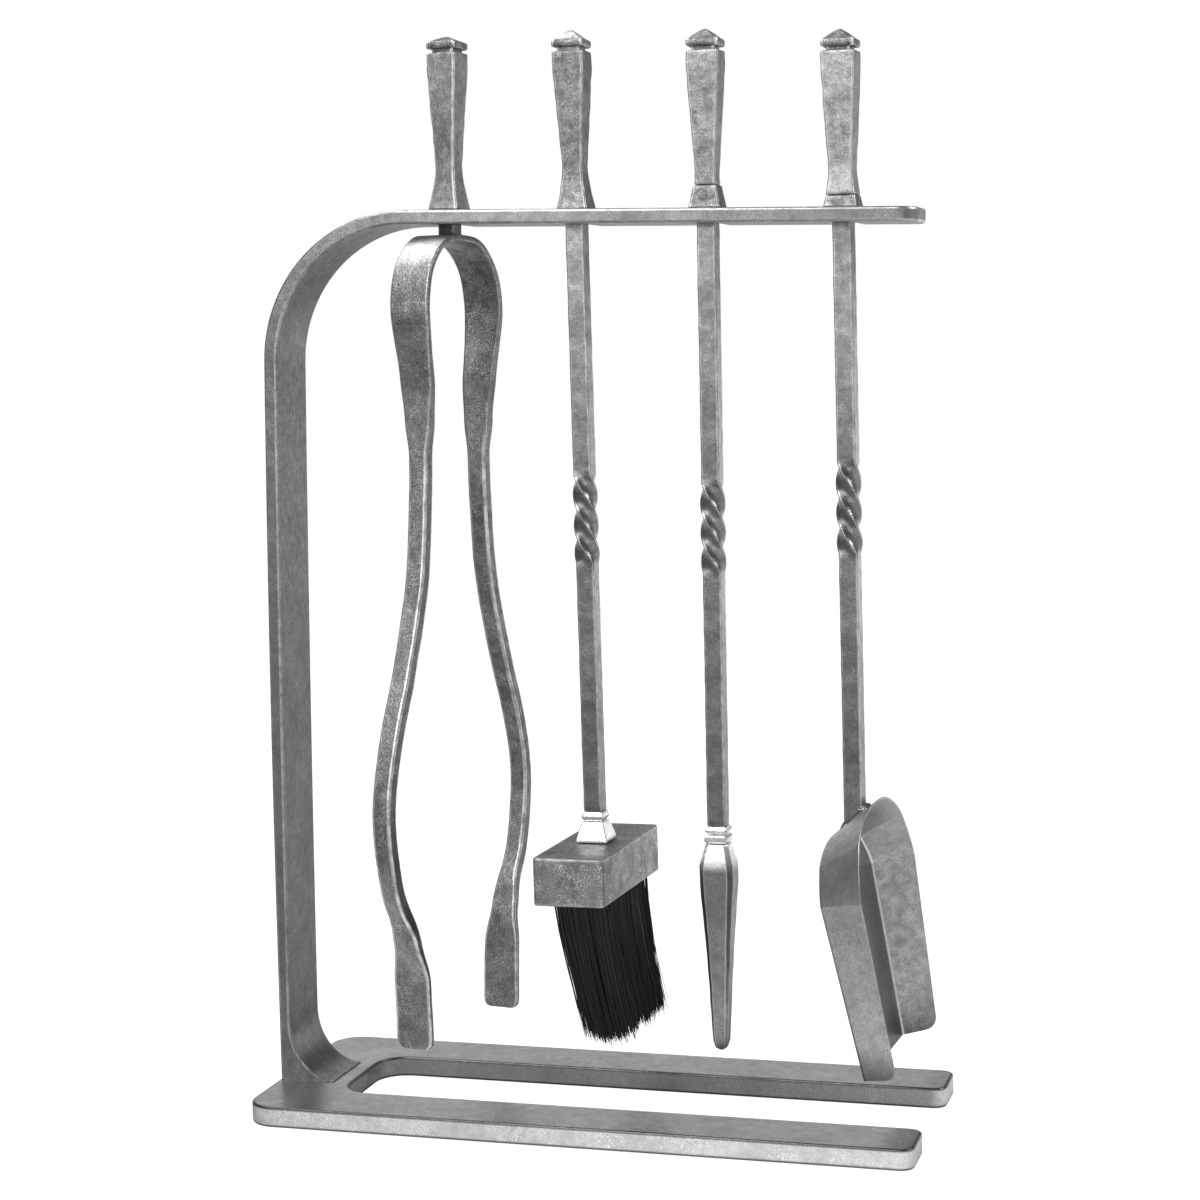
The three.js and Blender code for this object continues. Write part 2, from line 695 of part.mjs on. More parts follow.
function buildShovel() {
  const group = hangingGroup("shovel");
  buildHandle(group, "shovel");
  const pan = new THREE.Group();
  pan.position.set(PAN.mouthX, 0, PAN.mouthHeight - armTop(HANG.shovel.x));
  pan.rotation.set(0, -PAN.tilt, PAN.turn, "ZYX");
  group.add(pan);
  const height = PAN.wallAtMouth + PAN.wallGrowth * PAN.length + 12;
  const sheet = trayBlock(0, 0, height).subtract(trayBlock(PAN.sheet, -5, height)).intersect(rimTrim());
  addPiece(pan, "shovel_pan", geometryOf(sheet));
  addShaft(group, "shovel", shovelShaftBottom(), shovelShaftSlope());
  return group;
}

// The shaft is cut to lie on the pan's back wall.
function shovelShaftSlope() {
  return Math.tan(Math.atan(PAN.backSlope) + PAN.tilt);
}

function shovelShaftBottom() {
  const backX = PAN.mouthX - PAN.length * Math.sin(PAN.tilt);
  const backHeight = PAN.mouthHeight + PAN.length * Math.cos(PAN.tilt);
  return backHeight - backX * shovelShaftSlope() + 2 * SEAM;
}

// --- Assembly, with the origin on the underside of the plate, in the middle of its heel ---

const set = new THREE.Group();
set.name = "fireplace_tool_set";
set.position.x = BASE.length / 2 - BASE.heel / 2;
set.add(buildStand(), buildTongs(), buildBrush(), buildPoker(), buildShovel());
const root = new THREE.Group();
root.add(set);

export default root;
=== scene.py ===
"""A hearth tool set of forged square steel: an arched stand with tongs, brush, poker and shovel.

Shapes are worked out in millimetres, +Z up, with X along the arm, and -Y at the front.
"""

import math
import random

import bmesh
import bpy
from mathutils import Matrix, Vector, noise


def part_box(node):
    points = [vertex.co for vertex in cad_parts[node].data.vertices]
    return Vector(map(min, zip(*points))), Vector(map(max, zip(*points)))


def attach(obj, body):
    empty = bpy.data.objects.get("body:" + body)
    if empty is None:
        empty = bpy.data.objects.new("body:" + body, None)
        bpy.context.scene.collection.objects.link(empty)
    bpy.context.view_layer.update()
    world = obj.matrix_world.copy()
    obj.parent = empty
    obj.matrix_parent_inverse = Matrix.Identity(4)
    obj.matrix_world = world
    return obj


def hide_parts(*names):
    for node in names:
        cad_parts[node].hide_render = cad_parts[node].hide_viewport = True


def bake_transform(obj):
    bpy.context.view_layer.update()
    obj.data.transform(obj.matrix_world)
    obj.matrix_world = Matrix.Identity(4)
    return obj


noise.seed_set(3)  # the dents are the same in every run

MM = 0.001
SEAT_GAP = 0.5  # the tools' seats clear the arm by this much

# --- Driving dimensions, which the CAD part has too ---

BASE = dict(
    length=446, depth=176, thickness=13.6, heel=51, leg=44.5, heel_radius=20, slot_radius=20, toe_radius=9,
    edge=1.1,
)
BAR = dict(
    width=50.8, thickness=9.3, foot_x=-222.5, foot_thickness=7.7, fillet_length=31, fillet_height=37, toe=0.7,
    bend_x=-117.9, bend_z=500.7, bend_radius=98.5, lean=0.0243, sag=0.03, arm_end=221, end_radius=12,
    edge=1.6,
)
NOTCH = dict(width=15.5, front=-7.75, radius=2.5, mouth_radius=2.2)
HANG = {
    "tongs": dict(x=-91, turn=-8.3, lean=0, tilt=-0.025),
    "brush": dict(x=-4, turn=-1.5, lean=-0.008, tilt=0),
    "poker": dict(x=83.6, turn=-0.6, lean=0.002, tilt=0),
    "shovel": dict(x=171.2, turn=-2.5, lean=-0.006, tilt=0),
}
HANDLE = {
    "tongs": dict(seat=21.5, waist=13.4, waist_at=29, head=20.4, top=102, peak=3.5),
    "brush": dict(seat=21, waist=13.5, waist_at=28, head=20.7, top=101, peak=6.2, polished=1),
    "poker": dict(seat=21, waist=13.7, waist_at=26, head=20.8, top=99.4, peak=6.4, bolster=15, step=1.3),
    "shovel": dict(seat=21.5, waist=15.4, waist_at=24.5, head=21.2, top=97, peak=6.4, bolster=8, step=0.4),
}
FLARE = 1.6  # how quickly the seat narrows to the waist
HEAD_LENGTH = 10  # straight stretch under the cap
CAP = dict(neck=15, groove=2.4, slab=5)
SHAFT = dict(side=12.2, turns=0.75, twist=57.3)
TWIST_TOP = {"brush": 424.3, "poker": 418.3, "shovel": 430.5}
TONGS = dict(
    neck=11.6, bow_top=580, offset=5, hinge=540, hinge_reach=50.6, flex=20, tip_radius=5,
    # The last height is the middle of the painted highlight on the front of the bow.
    bright_below=425, bow_painted_highlight=571,
)
TONGS_PATH = [  # one arm: distance from the middle, height
    (0, 580), (24, 577), (44, 560), (51, 537), (48.5, 514), (43, 488), (40.6, 450), (41.9, 410),
    (48.7, 356), (66.7, 303), (89, 250), (96.8, 211), (88, 163), (73, 136), (65, 108), (62.5, 80), (61.5, 55),
]
TONGS_SECTIONS = [  # height, width, thickness
    (580, 27.5, 4.5), (535, 27.5, 4.5), (490, 23.5, 6), (462, 19, 8), (438, 13, 10),
    (150, 12.5, 10), (125, 18, 7), (100, 25.5, 4.8), (55, 26, 4.5),
]
# Square rings and tapers: height and side.
BEAD = [(195.9, 12.6), (197.9, 14.9), (199.9, 14.9), (201.9, 12.6)]
FERRULE = [(182, 21.7), (183.6, 21.7), (195.4, 14.6)]
BLOCK = dict(bottom=150, top=181.5, width=47.8, length=125.5, wall=3, edge=1.3, radius=3, middle=1.2)
BRISTLES = dict(
    top=152.6, bottom=61, width=31, length=110, x=1.7, y=3, sweep_x=0.19, sweep_y=-0.07, narrowing=0.88,
    tufts_across=8, tufts_along=24, fibres=22, fibre_radius=0.36,
)
POKER_BEAD = [(190.2, 13), (192.4, 15.4), (194.5, 13)]
POKER_COLLAR = [(183.5, 13.4), (184.8, 15.4), (187.6, 15.4), (188.9, 13.4)]
POKER_HEAD = [
    (45, 3.5), (46.5, 7), (51, 9.8), (64, 11.4), (91, 13.6),
    (118, 16.8), (145, 20.6), (157, 22.2), (169, 22.2), (182.9, 15.4),
]
POKER_SHOULDER = 166  # the head gets a painted highlight from here up
PAN = dict(
    sheet=1.6, tilt=0.195, turn=-0.1, mouth_x=15, mouth_height=45.7, length=148.7, mouth_half=55.6,
    back_half=73, wall=23.7, growth=0.048, splay=0.36, back_slope=0.52, mouth_radius=7,
)
# The pan floor's corner, with one crease in the middle: distance from the middle, height above the mouth.
PAN_CORNER = [(69.1, 114.7), (66.8, 123.2), (53, 136.9), (36, 147.8), (10, 148.7)]
# The shovel's weld: height above the shaft's end, and how much wider than the shaft.
WELD = [(0.4, 1), (0.4, 5.5), (1.4, 4.8), (2.6, 2.6), (3.4, 0.8), (3.6, -1)]

CAMERA = dict(azimuth=16.52, pitch=5.67, roll=-1.34, lens=75.78, place=(0.475, -1.582, 0.506))
LIGHTS = {  # place, width and height in metres, radiance
    "key": ((-0.25, -1.55, 2.0), (1.0, 0.8), 10),
    "low_key": ((-0.55, -2.2, 1.08), (0.9, 0.5), 4.0),
    "front": ((-0.5, -3.0, 0.6), (2.0, 1.1), 1.0),
    "top": ((-0.75, 0.2, 2.2), (1.3, 1.1), 4.5),
    "side": ((1.95, 0.45, 1.6), (1.0, 0.9), 9),
    "fill": ((1.15, -2.2, 0.35), (1.0, 1.0), 1.2),
    "back": ((-0.9, 2.2, 0.95), (2.2, 1.5), 0.6),
    "back_right": ((1.0, 2.6, 0.28), (1.4, 0.6), 0.7),
}

# --- Meshes ---


class Body:
    """Points in millimetres, each with its wear from 0 to 1, and the faces between them."""

    def __init__(self):
        self.points = []
        self.wear_and_painted_light = []
        self.faces = []

    def row(self, points):
        first = len(self.points)
        for point, wear_and_painted_light in points:
            self.points.append(Vector(point))
            self.wear_and_painted_light.append(wear_and_painted_light)
        return list(range(first, len(self.points)))

    def bridge(self, a, b, closed=True):
        count = len(a)
        for i in range(count if closed else count - 1):
            j = (i + 1) % count
            self.faces.append((a[i], a[j], b[j], b[i]))

    def close(self, row):
        self.faces.append(tuple(row))

    def skin(self, rows):
        """Faces between closed rows, and one across each end."""
        for a, b in zip(rows, rows[1:]):
            self.bridge(a, b)
        self.close(rows[0])
        self.close(rows[-1])

    def dent(self, size, amount, seed=0):
        """Moves the points a little, as hammer blows do. Size is how wide the dents are."""
        shift = Vector((7.3, 3.1, 5.7)) * seed
        for point in self.points:
            point += noise.noise_vector(point / size + shift) * amount


def loft(rings):
    body = Body()
    body.skin([body.row(ring) for ring in rings])
    return body


def corner_arc(before, corner, after, radius, steps):
    """Points of the arc that rounds a corner, and the unit directions back and on from it."""
    back = (before - corner).normalized()
    on = (after - corner).normalized()
    opening = back.angle(on)
    centre = corner + (back + on).normalized() * radius / math.sin(opening / 2)
    start = corner + back * radius / math.tan(opening / 2) - centre
    side = -1 if back.x * on.y - back.y * on.x > 0 else 1
    points = []
    for i in range(steps + 1):
        points.append(centre + Matrix.Rotation(side * (math.pi - opening) * i / steps, 2) @ start)
    return points, back, on


def rounded(corners, radii, margin=0.8, steps=4, flats=0):
    """Closed outline with rounded corners, as points with their wear. Margin points keep the flats flat.

    A flat that twists has more points along it, so that its shading follows the twist.
    """
    corners = [Vector(corner) for corner in corners]
    radii = radii if isinstance(radii, (list, tuple)) else [radii] * len(corners)
    points = []
    for i, corner in enumerate(corners):
        after = corners[(i + 1) % len(corners)]
        arc, back, on = corner_arc(corners[i - 1], corner, after, radii[i], steps)
        if margin:
            points.append((arc[0] + back * margin, 0.0))
        points += [(point, 1.0) for point in arc]
        if margin:
            points.append((arc[-1] + on * margin, 0.0))
        flat = (after - corner).length
        points += [(corner + on * flat * (k + 1.5) / (flats + 2), 0.0) for k in range(flats)]
    return points


def rectangle(width, length):
    x, y = width / 2, length / 2
    return [(x, -y), (x, y), (-x, y), (-x, -y)]


def inward(points, closed=True):
    """For each point of an outline, the offset that keeps 1 mm from both its sides."""
    last = len(points) - 1
    offsets = []
    for i, point in enumerate(points):
        before = point - points[i - 1] if closed or i else points[1] - point
        after = points[(i + 1) % (last + 1)] - point if closed or i < last else before
        a, b = before.normalized(), after.normalized()
        left_a, left_b = Vector((-a.y, a.x)), Vector((-b.y, b.x))
        offsets.append((left_a + left_b) / (1 + left_a.dot(left_b)))
    return offsets


def edge_profile(thickness, radius, margin=1.0, steps=3):
    """Rows round a plate's edge, from its top to its bottom: inset, depth and wear."""
    rows = [(radius + margin, 0.0, 0.0)]
    for i in range(steps + 1):
        angle = math.pi / 2 * i / steps
        rows.append((radius * (1 - math.sin(angle)), radius * (1 - math.cos(angle)), 1.0))
    if thickness > 2 * (radius + margin) + 0.5:
        rows.append((0.0, radius + margin, 0.0))
    return rows + [(inset, thickness - depth, wear_and_painted_light) for inset, depth, wear_and_painted_light in reversed(rows)]


def plate(outline, top, profile):
    """Body with that plan, through a profile's rows of inset, depth and wear from its top down."""
    offsets = inward(outline)
    rings = []
    for inset, depth, wear_and_painted_light in profile:
        edge = [point + offset * inset for point, offset in zip(outline, offsets)]
        rings.append([((point.x, point.y, top - depth), wear_and_painted_light) for point in edge])
    return loft(rings)


def square_ring(height, corners, radius, turn=0.0, slope=0.0, flats=0):
    """Level section of a bar, turned about its axis, whose height may slope along X."""
    rotation = Matrix.Rotation(turn, 3, "Z")
    ring = []
    for point, wear_and_painted_light in rounded(corners, radius, margin=min(0.8, radius), flats=flats):
        point = rotation @ Vector((point.x, point.y, 0))
        ring.append(((point.x, point.y, height + slope * point.x), wear_and_painted_light))
    return ring


def octagon(side, chamfer):
    """A square of that side with its corners cut by a share of half the side."""
    half = side / 2
    flat = half * (1 - chamfer)
    corners = []
    for i in range(4):
        rotation = Matrix.Rotation(i * math.pi / 2, 2)
        corners += [rotation @ Vector((half, -flat)), rotation @ Vector((half, flat))]
    return corners


def bar(levels, radius, shape, ease=0.7, flats=0):
    """Upright bar through levels of height, side, turn and slope, with eased ends.

    Shape gives a section's corners from its side. Turn and slope may be left out.
    """
    def section(height, side, turn=0.0, slope=0.0):
        return square_ring(height, shape(side), min(radius, side / 5), turn, slope, flats)

    ends = []
    for (height, side, *rest), sign in ((levels[0], 1), (levels[-1], -1)):
        ends.append([
            section(height, max(side - 4 * ease, side / 3), *rest),
            section(height, side - 1.6 * ease, *rest),
            section(height + sign * ease * 0.3, side - 0.6 * ease, *rest),
        ])
    first, *middle, final = levels
    rings = [section(first[0] + ease, *first[1:])]
    rings += [section(*level) for level in middle]
    rings.append(section(final[0] - ease, *final[1:]))
    return loft(ends[0] + rings + ends[1][::-1])


def square(side):
    return rectangle(side, side)


def lerp(a, b, share):
    return a + (b - a) * share


def refined(levels, step):
    """More levels between those given, evenly spaced by about one step."""
    fine = []
    for low, high in zip(levels, levels[1:]):
        count = max(1, round((high[0] - low[0]) / step))
        for i in range(count):
            fine.append(tuple(lerp(a, b, i / count) for a, b in zip(low, high)))
    return fine + [tuple(levels[-1])]


# --- Materials ---


class Finish:
    """A material whose node graph is put together from small steps."""

    def __init__(self, name):
        self.material = bpy.data.materials.new(name)
        self.material.use_nodes = True
        self.tree = self.material.node_tree
        self.shader = next(node for node in self.tree.nodes if node.type == "BSDF_PRINCIPLED")
        coordinates = self.add("ShaderNodeTexCoord")
        self.place, self.facing = coordinates.outputs["Object"], coordinates.outputs["Normal"]

    def add(self, kind, **inputs):
        node = self.tree.nodes.new(kind)
        for name, value in inputs.items():
            self.feed(node.inputs[name], value)
        return node

    def feed(self, socket, value):
        if isinstance(value, bpy.types.NodeSocket):
            self.tree.links.new(value, socket)
        else:
            socket.default_value = value

    def noise(self, size, detail, rough):
        """Noise with features of about that many millimetres."""
        inputs = {"Vector": self.place, "Scale": 1 / (size * MM), "Detail": detail, "Roughness": rough}
        return self.add("ShaderNodeTexNoise", **inputs).outputs[0]

    def axis(self, vector, name):
        return self.add("ShaderNodeSeparateXYZ", Vector=vector).outputs[name]

    def finished(self, inputs):
        """The material, with those values or nodes on its shader."""
        for name, value in inputs.items():
            self.feed(self.shader.inputs[name], value)
        return self.material

    def between(self, value, low, high, to_low=0.0, to_high=1.0):
        inputs = {"Value": value, "From Min": low, "From Max": high, "To Min": to_low, "To Max": to_high}
        return self.add("ShaderNodeMapRange", **inputs).outputs[0]

    def math(self, operation, a, b):
        node = self.tree.nodes.new("ShaderNodeMath")
        node.operation = operation
        self.feed(node.inputs[0], a)
        self.feed(node.inputs[1], b)
        return node.outputs[0]

    def mix(self, factor, a, b):
        return self.add("ShaderNodeMixRGB", Fac=factor, Color1=a, Color2=b).outputs[0]

    def attribute(self, name):
        node = self.tree.nodes.new("ShaderNodeAttribute")
        node.attribute_name = name
        return node.outputs["Fac"]

    def bump(self, height, distance, normal=None):
        node = self.add("ShaderNodeBump", Height=height, Distance=distance * MM)
        if normal:
            self.feed(node.inputs["Normal"], normal)
        return node.outputs[0]


def grey(value, tint=(0.985, 1.0, 0.985)):
    return tuple(value * part for part in tint) + (1.0,)


def painted_light_on_upright_faces(finish, gain):
    """Painted light: 1 on a level face, the gain on an upright one."""
    level = finish.math("ABSOLUTE", finish.axis(finish.facing, "Z"), 0.0)
    return finish.between(level, 0.3, 0.7, gain, 1.0)


def painted_shade_on_upright(finish):
    """Painted shade: 1 along the arm, less on the upright, and least on its wide faces, which are lighter low
    down.
    """
    wide_face = finish.between(finish.axis(finish.place, "Z"), 0.08, 0.3, 0.8, 0.5)
    sideways = finish.math("ABSOLUTE", finish.axis(finish.facing, "Y"), 0.0)
    upright = finish.between(sideways, 0.3, 0.8, wide_face, 0.8)
    return finish.between(finish.axis(finish.place, "X"), 0.01, 0.13, upright, 1.0)


def darker_mouth(finish):
    """1 on the pan's walls, less towards its mouth, and painted shade on the floor inside."""
    mouth = finish.between(finish.axis(finish.place, "Z"), 0.046, 0.07, 0.35, 1.0)
    # Painted shade on the floor inside, which faces along X.
    floor = finish.between(finish.axis(finish.facing, "X"), 0.85, 0.95, 1.0, 0.6)
    return finish.math("MULTIPLY", mouth, floor)


def painted_shade_on_strip_sides(finish):
    """Painted shade: 1 on the strip's flats, less on its narrow sides."""
    sideways = finish.math("ABSOLUTE", finish.axis(finish.facing, "X"), 0.0)
    return finish.between(sideways, 0.5, 0.9, 1.0, 0.6)


def forged(name, dark, light, fleck=0.5, worn=0.5, rough=(0.36, 0.52), hammer=0.05, grain=0.04, cluster=14,
           edge=0.9, patchy=0.25, sides=1.0, shade=None):
    """Hand-rubbed steel: mottled grey, with bright flecks where the scale is worn through.

    Dark and light are the mottling's greys, and edge is the grey of the edges: light where they are worn, and
    dark where it paints shade along them. Fleck and worn say how much shows of flecks and of the edge grey.
    Cluster is the size of groups of flecks in millimetres, and patchy is what stays of an edge where it is
    least worn. Sides paints light on upright faces. Shade gives the share of the colour that stays, and
    paints shade.
    """
    finish = Finish(name)
    patches = finish.noise(38, 3, 0.55)
    mottles = finish.noise(5.5, 4, 0.62)
    grains = finish.noise(0.9, 1, 0.5)
    tone = 0.0
    for texture, share in ((patches, 0.35), (mottles, 0.4), (grains, 0.25)):
        tone = finish.math("ADD", tone, finish.between(texture, 0.36, 0.64, 0, share))
    colour = finish.mix(tone, grey(dark), grey(light))
    flecks = finish.between(finish.noise(0.85, 2, 0.7), 0.48, 0.72)
    clusters = finish.between(finish.noise(cluster, 3, 0.6), 0.4, 0.62, 0.15, 1.0)
    shine = finish.math("MULTIPLY", finish.math("MULTIPLY", flecks, clusters), fleck)
    colour = finish.mix(shine, colour, grey(0.92))
    # Painted light: upright faces are made lighter than level ones.
    if sides > 1:
        gain = painted_light_on_upright_faces(finish, sides)
        colour = finish.add("ShaderNodeHueSaturation", Value=gain, Color=colour).outputs[0]
    # Painted shade from the shade function.
    if shade:
        colour = finish.mix(shade(finish), grey(0), colour)
    # Edges take the edge grey; on the base that grey is dark and paints shade along them.
    rubbed = finish.between(finish.noise(7, 3, 0.6), 0.32, 0.62, patchy, 1.0)
    on_edge = finish.math("MULTIPLY", finish.math("MULTIPLY", finish.attribute("wear_and_painted_light"), rubbed), worn)
    colour = finish.mix(on_edge, colour, grey(edge))
    roughness = finish.between(mottles, 0.3, 0.7, rough[1], rough[0])
    coarse = finish.bump(finish.noise(6.5, 2, 0.5), hammer * 6)
    fine = finish.bump(finish.noise(1.1, 2, 0.6), grain * 3, normal=coarse)
    return finish.finished({"Base Color": colour, "Metallic": 0.9, "Roughness": roughness, "Normal": fine})


def plain(name, colour, roughness, specular=0.5):
    inputs = {"Base Color": colour, "Roughness": roughness, "Specular IOR Level": specular}
    return Finish(name).finished(inputs)


def make_materials():
    return {
        # The base's upright faces get painted light, and its edges a dark grey of painted shade.
        "base": forged("base_steel", 0.25, 0.42, 0.5, 0.85, (0.26, 0.36), 0.02, 0.02, cluster=30, edge=0.06,
                       patchy=1.0, sides=1.65),
        # The stand bar gets painted shade on its upright.
        "bar": forged("bar_steel", 0.17, 0.31, 0.5, 0.35, (0.32, 0.44), 0.03, 0.02, cluster=20,
                      shade=painted_shade_on_upright),
        "tongs_handle": forged("tongs_handle_steel", 0.10, 0.42, 0.5, 0.7, hammer=0.06, cluster=9),
        "brush_handle": forged("brush_handle_steel", 0.06, 0.28, 0.6, 0.45, hammer=0.06, cluster=9),
        "poker_handle": forged("poker_handle_steel", 0.14, 0.50, 0.5, 0.45, hammer=0.06, cluster=9),
        "shovel_handle": forged("shovel_handle_steel", 0.16, 0.54, 0.4, 0.45, hammer=0.06, cluster=9),
        "cap": forged("cap_steel", 0.04, 0.30, 0.9, 0.8, hammer=0.08, grain=0.06, cluster=6),
        "shaft": forged("shaft_steel", 0.12, 0.30, 0.3, 0.4, (0.24, 0.34), 0.03, 0.02),
        # The tongs' strip gets painted shade on its narrow sides.
        "tongs": forged("tongs_steel", 0.08, 0.36, 0.9, 0.9, (0.3, 0.46), 0.05, 0.05, cluster=12,
                        shade=painted_shade_on_strip_sides),
        # The block's upright faces get painted light, brighter than its top.
        "block": forged("block_steel", 0.06, 0.17, 0.6, 0.3, (0.42, 0.54), 0.03, 0.05, cluster=16,
                        sides=2.1),
        # The pan gets painted shade on its floor inside, and is darker towards its mouth.
        "pan": forged("pan_steel", 0.26, 0.44, 0.5, 0.95, (0.32, 0.46), 0.02, 0.03, cluster=25, patchy=0.8,
                      shade=darker_mouth),
        "bright": forged("bright_steel", 0.80, 0.93, 0.3, 0.0, (0.22, 0.32), 0.02, 0.015),
        "head": forged("poker_steel", 0.17, 0.38, 0.4, 1.0, (0.26, 0.4), 0.03, 0.03, patchy=0.7),
        "dark": forged("dark_steel", 0.05, 0.12, 0.1, 0.3, (0.4, 0.5), 0.02, 0.02),
        "wood": plain("board_wood", (0.14, 0.08, 0.045, 1), roughness=0.75),
        "bristle": plain("bristle_black", (0.006, 0.006, 0.007, 1), roughness=0.32, specular=0.35),
        "stray": plain("bristle_pale", (0.25, 0.25, 0.24, 1), roughness=0.4),
    }


# --- Pieces ---


def mesh_of(name, body, place, smooth_angle):
    mesh = bpy.data.meshes.new(name)
    mesh.from_pydata([(place @ point) * MM for point in body.points], [], body.faces)
    work = bmesh.new()
    work.from_mesh(mesh)
    bmesh.ops.recalc_face_normals(work, faces=work.faces)
    work.to_mesh(mesh)
    work.free()
    # Besides real wear, this attribute carries painted highlights on the tongs' bow, the poker's shoulder and
    # the pan's far crease, and marks where the base's painted shade goes along its edges.
    wear_and_painted_light = mesh.attributes.new("wear_and_painted_light", "FLOAT", "POINT")
    wear_and_painted_light.data.foreach_set("value", body.wear_and_painted_light)
    mesh.polygons.foreach_set("use_smooth", [True] * len(mesh.polygons))
    mesh.set_sharp_from_angle(angle=math.radians(smooth_angle))
    return mesh


def add_piece(node, body, place, material, replaced=(), smooth_angle=38):
    """A visual piece that stands for a CAD node, or for several."""
    mesh = mesh_of(node, body, place, smooth_angle)
    mesh.materials.append(material)
    piece = bpy.data.objects.new(node + ".visual", mesh)
    bpy.context.scene.collection.objects.link(piece)
    if replaced is not None:
        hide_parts(node, *replaced)
    return piece


def arm_top(x):
    top_x = BAR["bend_x"] + BAR["bend_radius"] * math.sin(BAR["sag"])
    top_z = BAR["bend_z"] + BAR["bend_radius"] * math.cos(BAR["sag"])
    return top_z - BAR["sag"] * (x - top_x)


def hanging(origin, tool):
    """Frame of a tool: its origin is on the arm's top surface, on the tool's axis."""
    spec = HANG[tool]
    x = spec["x"]
    place = Matrix.Translation((x, 0, arm_top(x)))
    place @= Matrix.Rotation(math.radians(spec["turn"]), 4, "Z")
    place @= Matrix.Rotation(spec["lean"], 4, "Y")
    return origin @ place @ Matrix.Rotation(spec["tilt"], 4, "X")


# --- Stand ---


def base_body():
    right, front = BASE["length"] / 2, BASE["depth"] / 2
    slot, heel = front - BASE["leg"], BASE["heel"] - right
    corners = [
        (-right, -front), (right, -front), (right, -slot), (heel, -slot),
        (heel, slot), (right, slot), (right, front), (-right, front),
    ]
    toe, inner, outer = BASE["toe_radius"], BASE["slot_radius"], BASE["heel_radius"]
    radii = [outer, toe, toe, inner, inner, toe, toe, outer]
    outline = [point for point, wear_and_painted_light in rounded(corners, radii, margin=0, steps=8)]
    return plate(outline, BASE["thickness"], edge_profile(BASE["thickness"], BASE["edge"]))


def on_bend(radius, angle):
    return Vector((BAR["bend_x"] + radius * math.cos(angle), BAR["bend_z"] + radius * math.sin(angle)))


def bar_stations():
    """Pairs of points on the bar's outer and inner faces, from the foot to where the arm starts."""
    bottom = BASE["thickness"]
    inner_radius = BAR["bend_radius"] - BAR["thickness"]
    start, end = math.pi - BAR["lean"], math.pi / 2 - BAR["sag"]
    inner_foot = BAR["foot_x"] + BAR["foot_thickness"]
    fillet_top = bottom + BAR["toe"] + BAR["fillet_height"]
    stations = [(Vector((BAR["foot_x"], bottom)), Vector((inner_foot + BAR["fillet_length"], bottom)))]
    steps = 14
    for i in range(steps):
        angle = math.pi / 2 * (1 - i / steps)
        inner = Vector((
            inner_foot + BAR["fillet_length"] * (1 - math.cos(angle)),
            fillet_top - BAR["fillet_height"] * math.sin(angle),
        ))
        share = (i + 0.6) / steps
        stations.append((Vector((BAR["foot_x"], bottom + (fillet_top - bottom) * share ** 1.2)), inner))
    outer_foot, outer_top = Vector((BAR["foot_x"], bottom)), on_bend(BAR["bend_radius"], start)
    inner_bottom, inner_top = Vector((inner_foot, fillet_top)), on_bend(inner_radius, start)
    outer_control = Vector((BAR["foot_x"], (bottom + BAR["bend_z"]) / 2))
    middle = (fillet_top + inner_top.y) / 2
    inner_control = Vector((inner_top.x - BAR["lean"] * (inner_top.y - middle), middle))
    first = (fillet_top - bottom) / (outer_top.y - bottom)
    steps = 24
    for i in range(steps):
        share = i / steps
        outer = quadratic(outer_foot, outer_control, outer_top, lerp(first, 1, share))
        stations.append((outer, quadratic(inner_bottom, inner_control, inner_top, share)))
    steps = 40
    for i in range(steps + 1):
        angle = lerp(start, end, i / steps)
        stations.append((on_bend(BAR["bend_radius"], angle), on_bend(inner_radius, angle)))
    return stations


def quadratic(a, control, b, share):
    return a.lerp(control, share).lerp(control.lerp(b, share), share)


def arm_outline(length):
    """Plan of the arm from where the bend ends, open at the start, with notches in its back."""
    half = BAR["width"] / 2
    top_x = BAR["bend_x"] + BAR["bend_radius"] * math.sin(BAR["sag"])
    corners = [(length, -half), (length, half)]
    radii = [BAR["end_radius"]] * 2
    for tool in ("shovel", "poker", "brush", "tongs"):
        x = HANG[tool]["x"] - top_x
        side = NOTCH["width"] / 2
        left, right = x - side, x + side
        corners += [(right, half), (right, NOTCH["front"]), (left, NOTCH["front"]), (left, half)]
        radii += [NOTCH["mouth_radius"], NOTCH["radius"], NOTCH["radius"], NOTCH["mouth_radius"]]
    corners = [Vector(corner) for corner in [(0, -half)] + corners + [(0, half)]]
    points = [corners[0]]
    for i, radius in enumerate(radii, 1):
        points += corner_arc(corners[i - 1], corners[i], corners[i + 1], radius, 6)[0]
    return points + [corners[-1]]


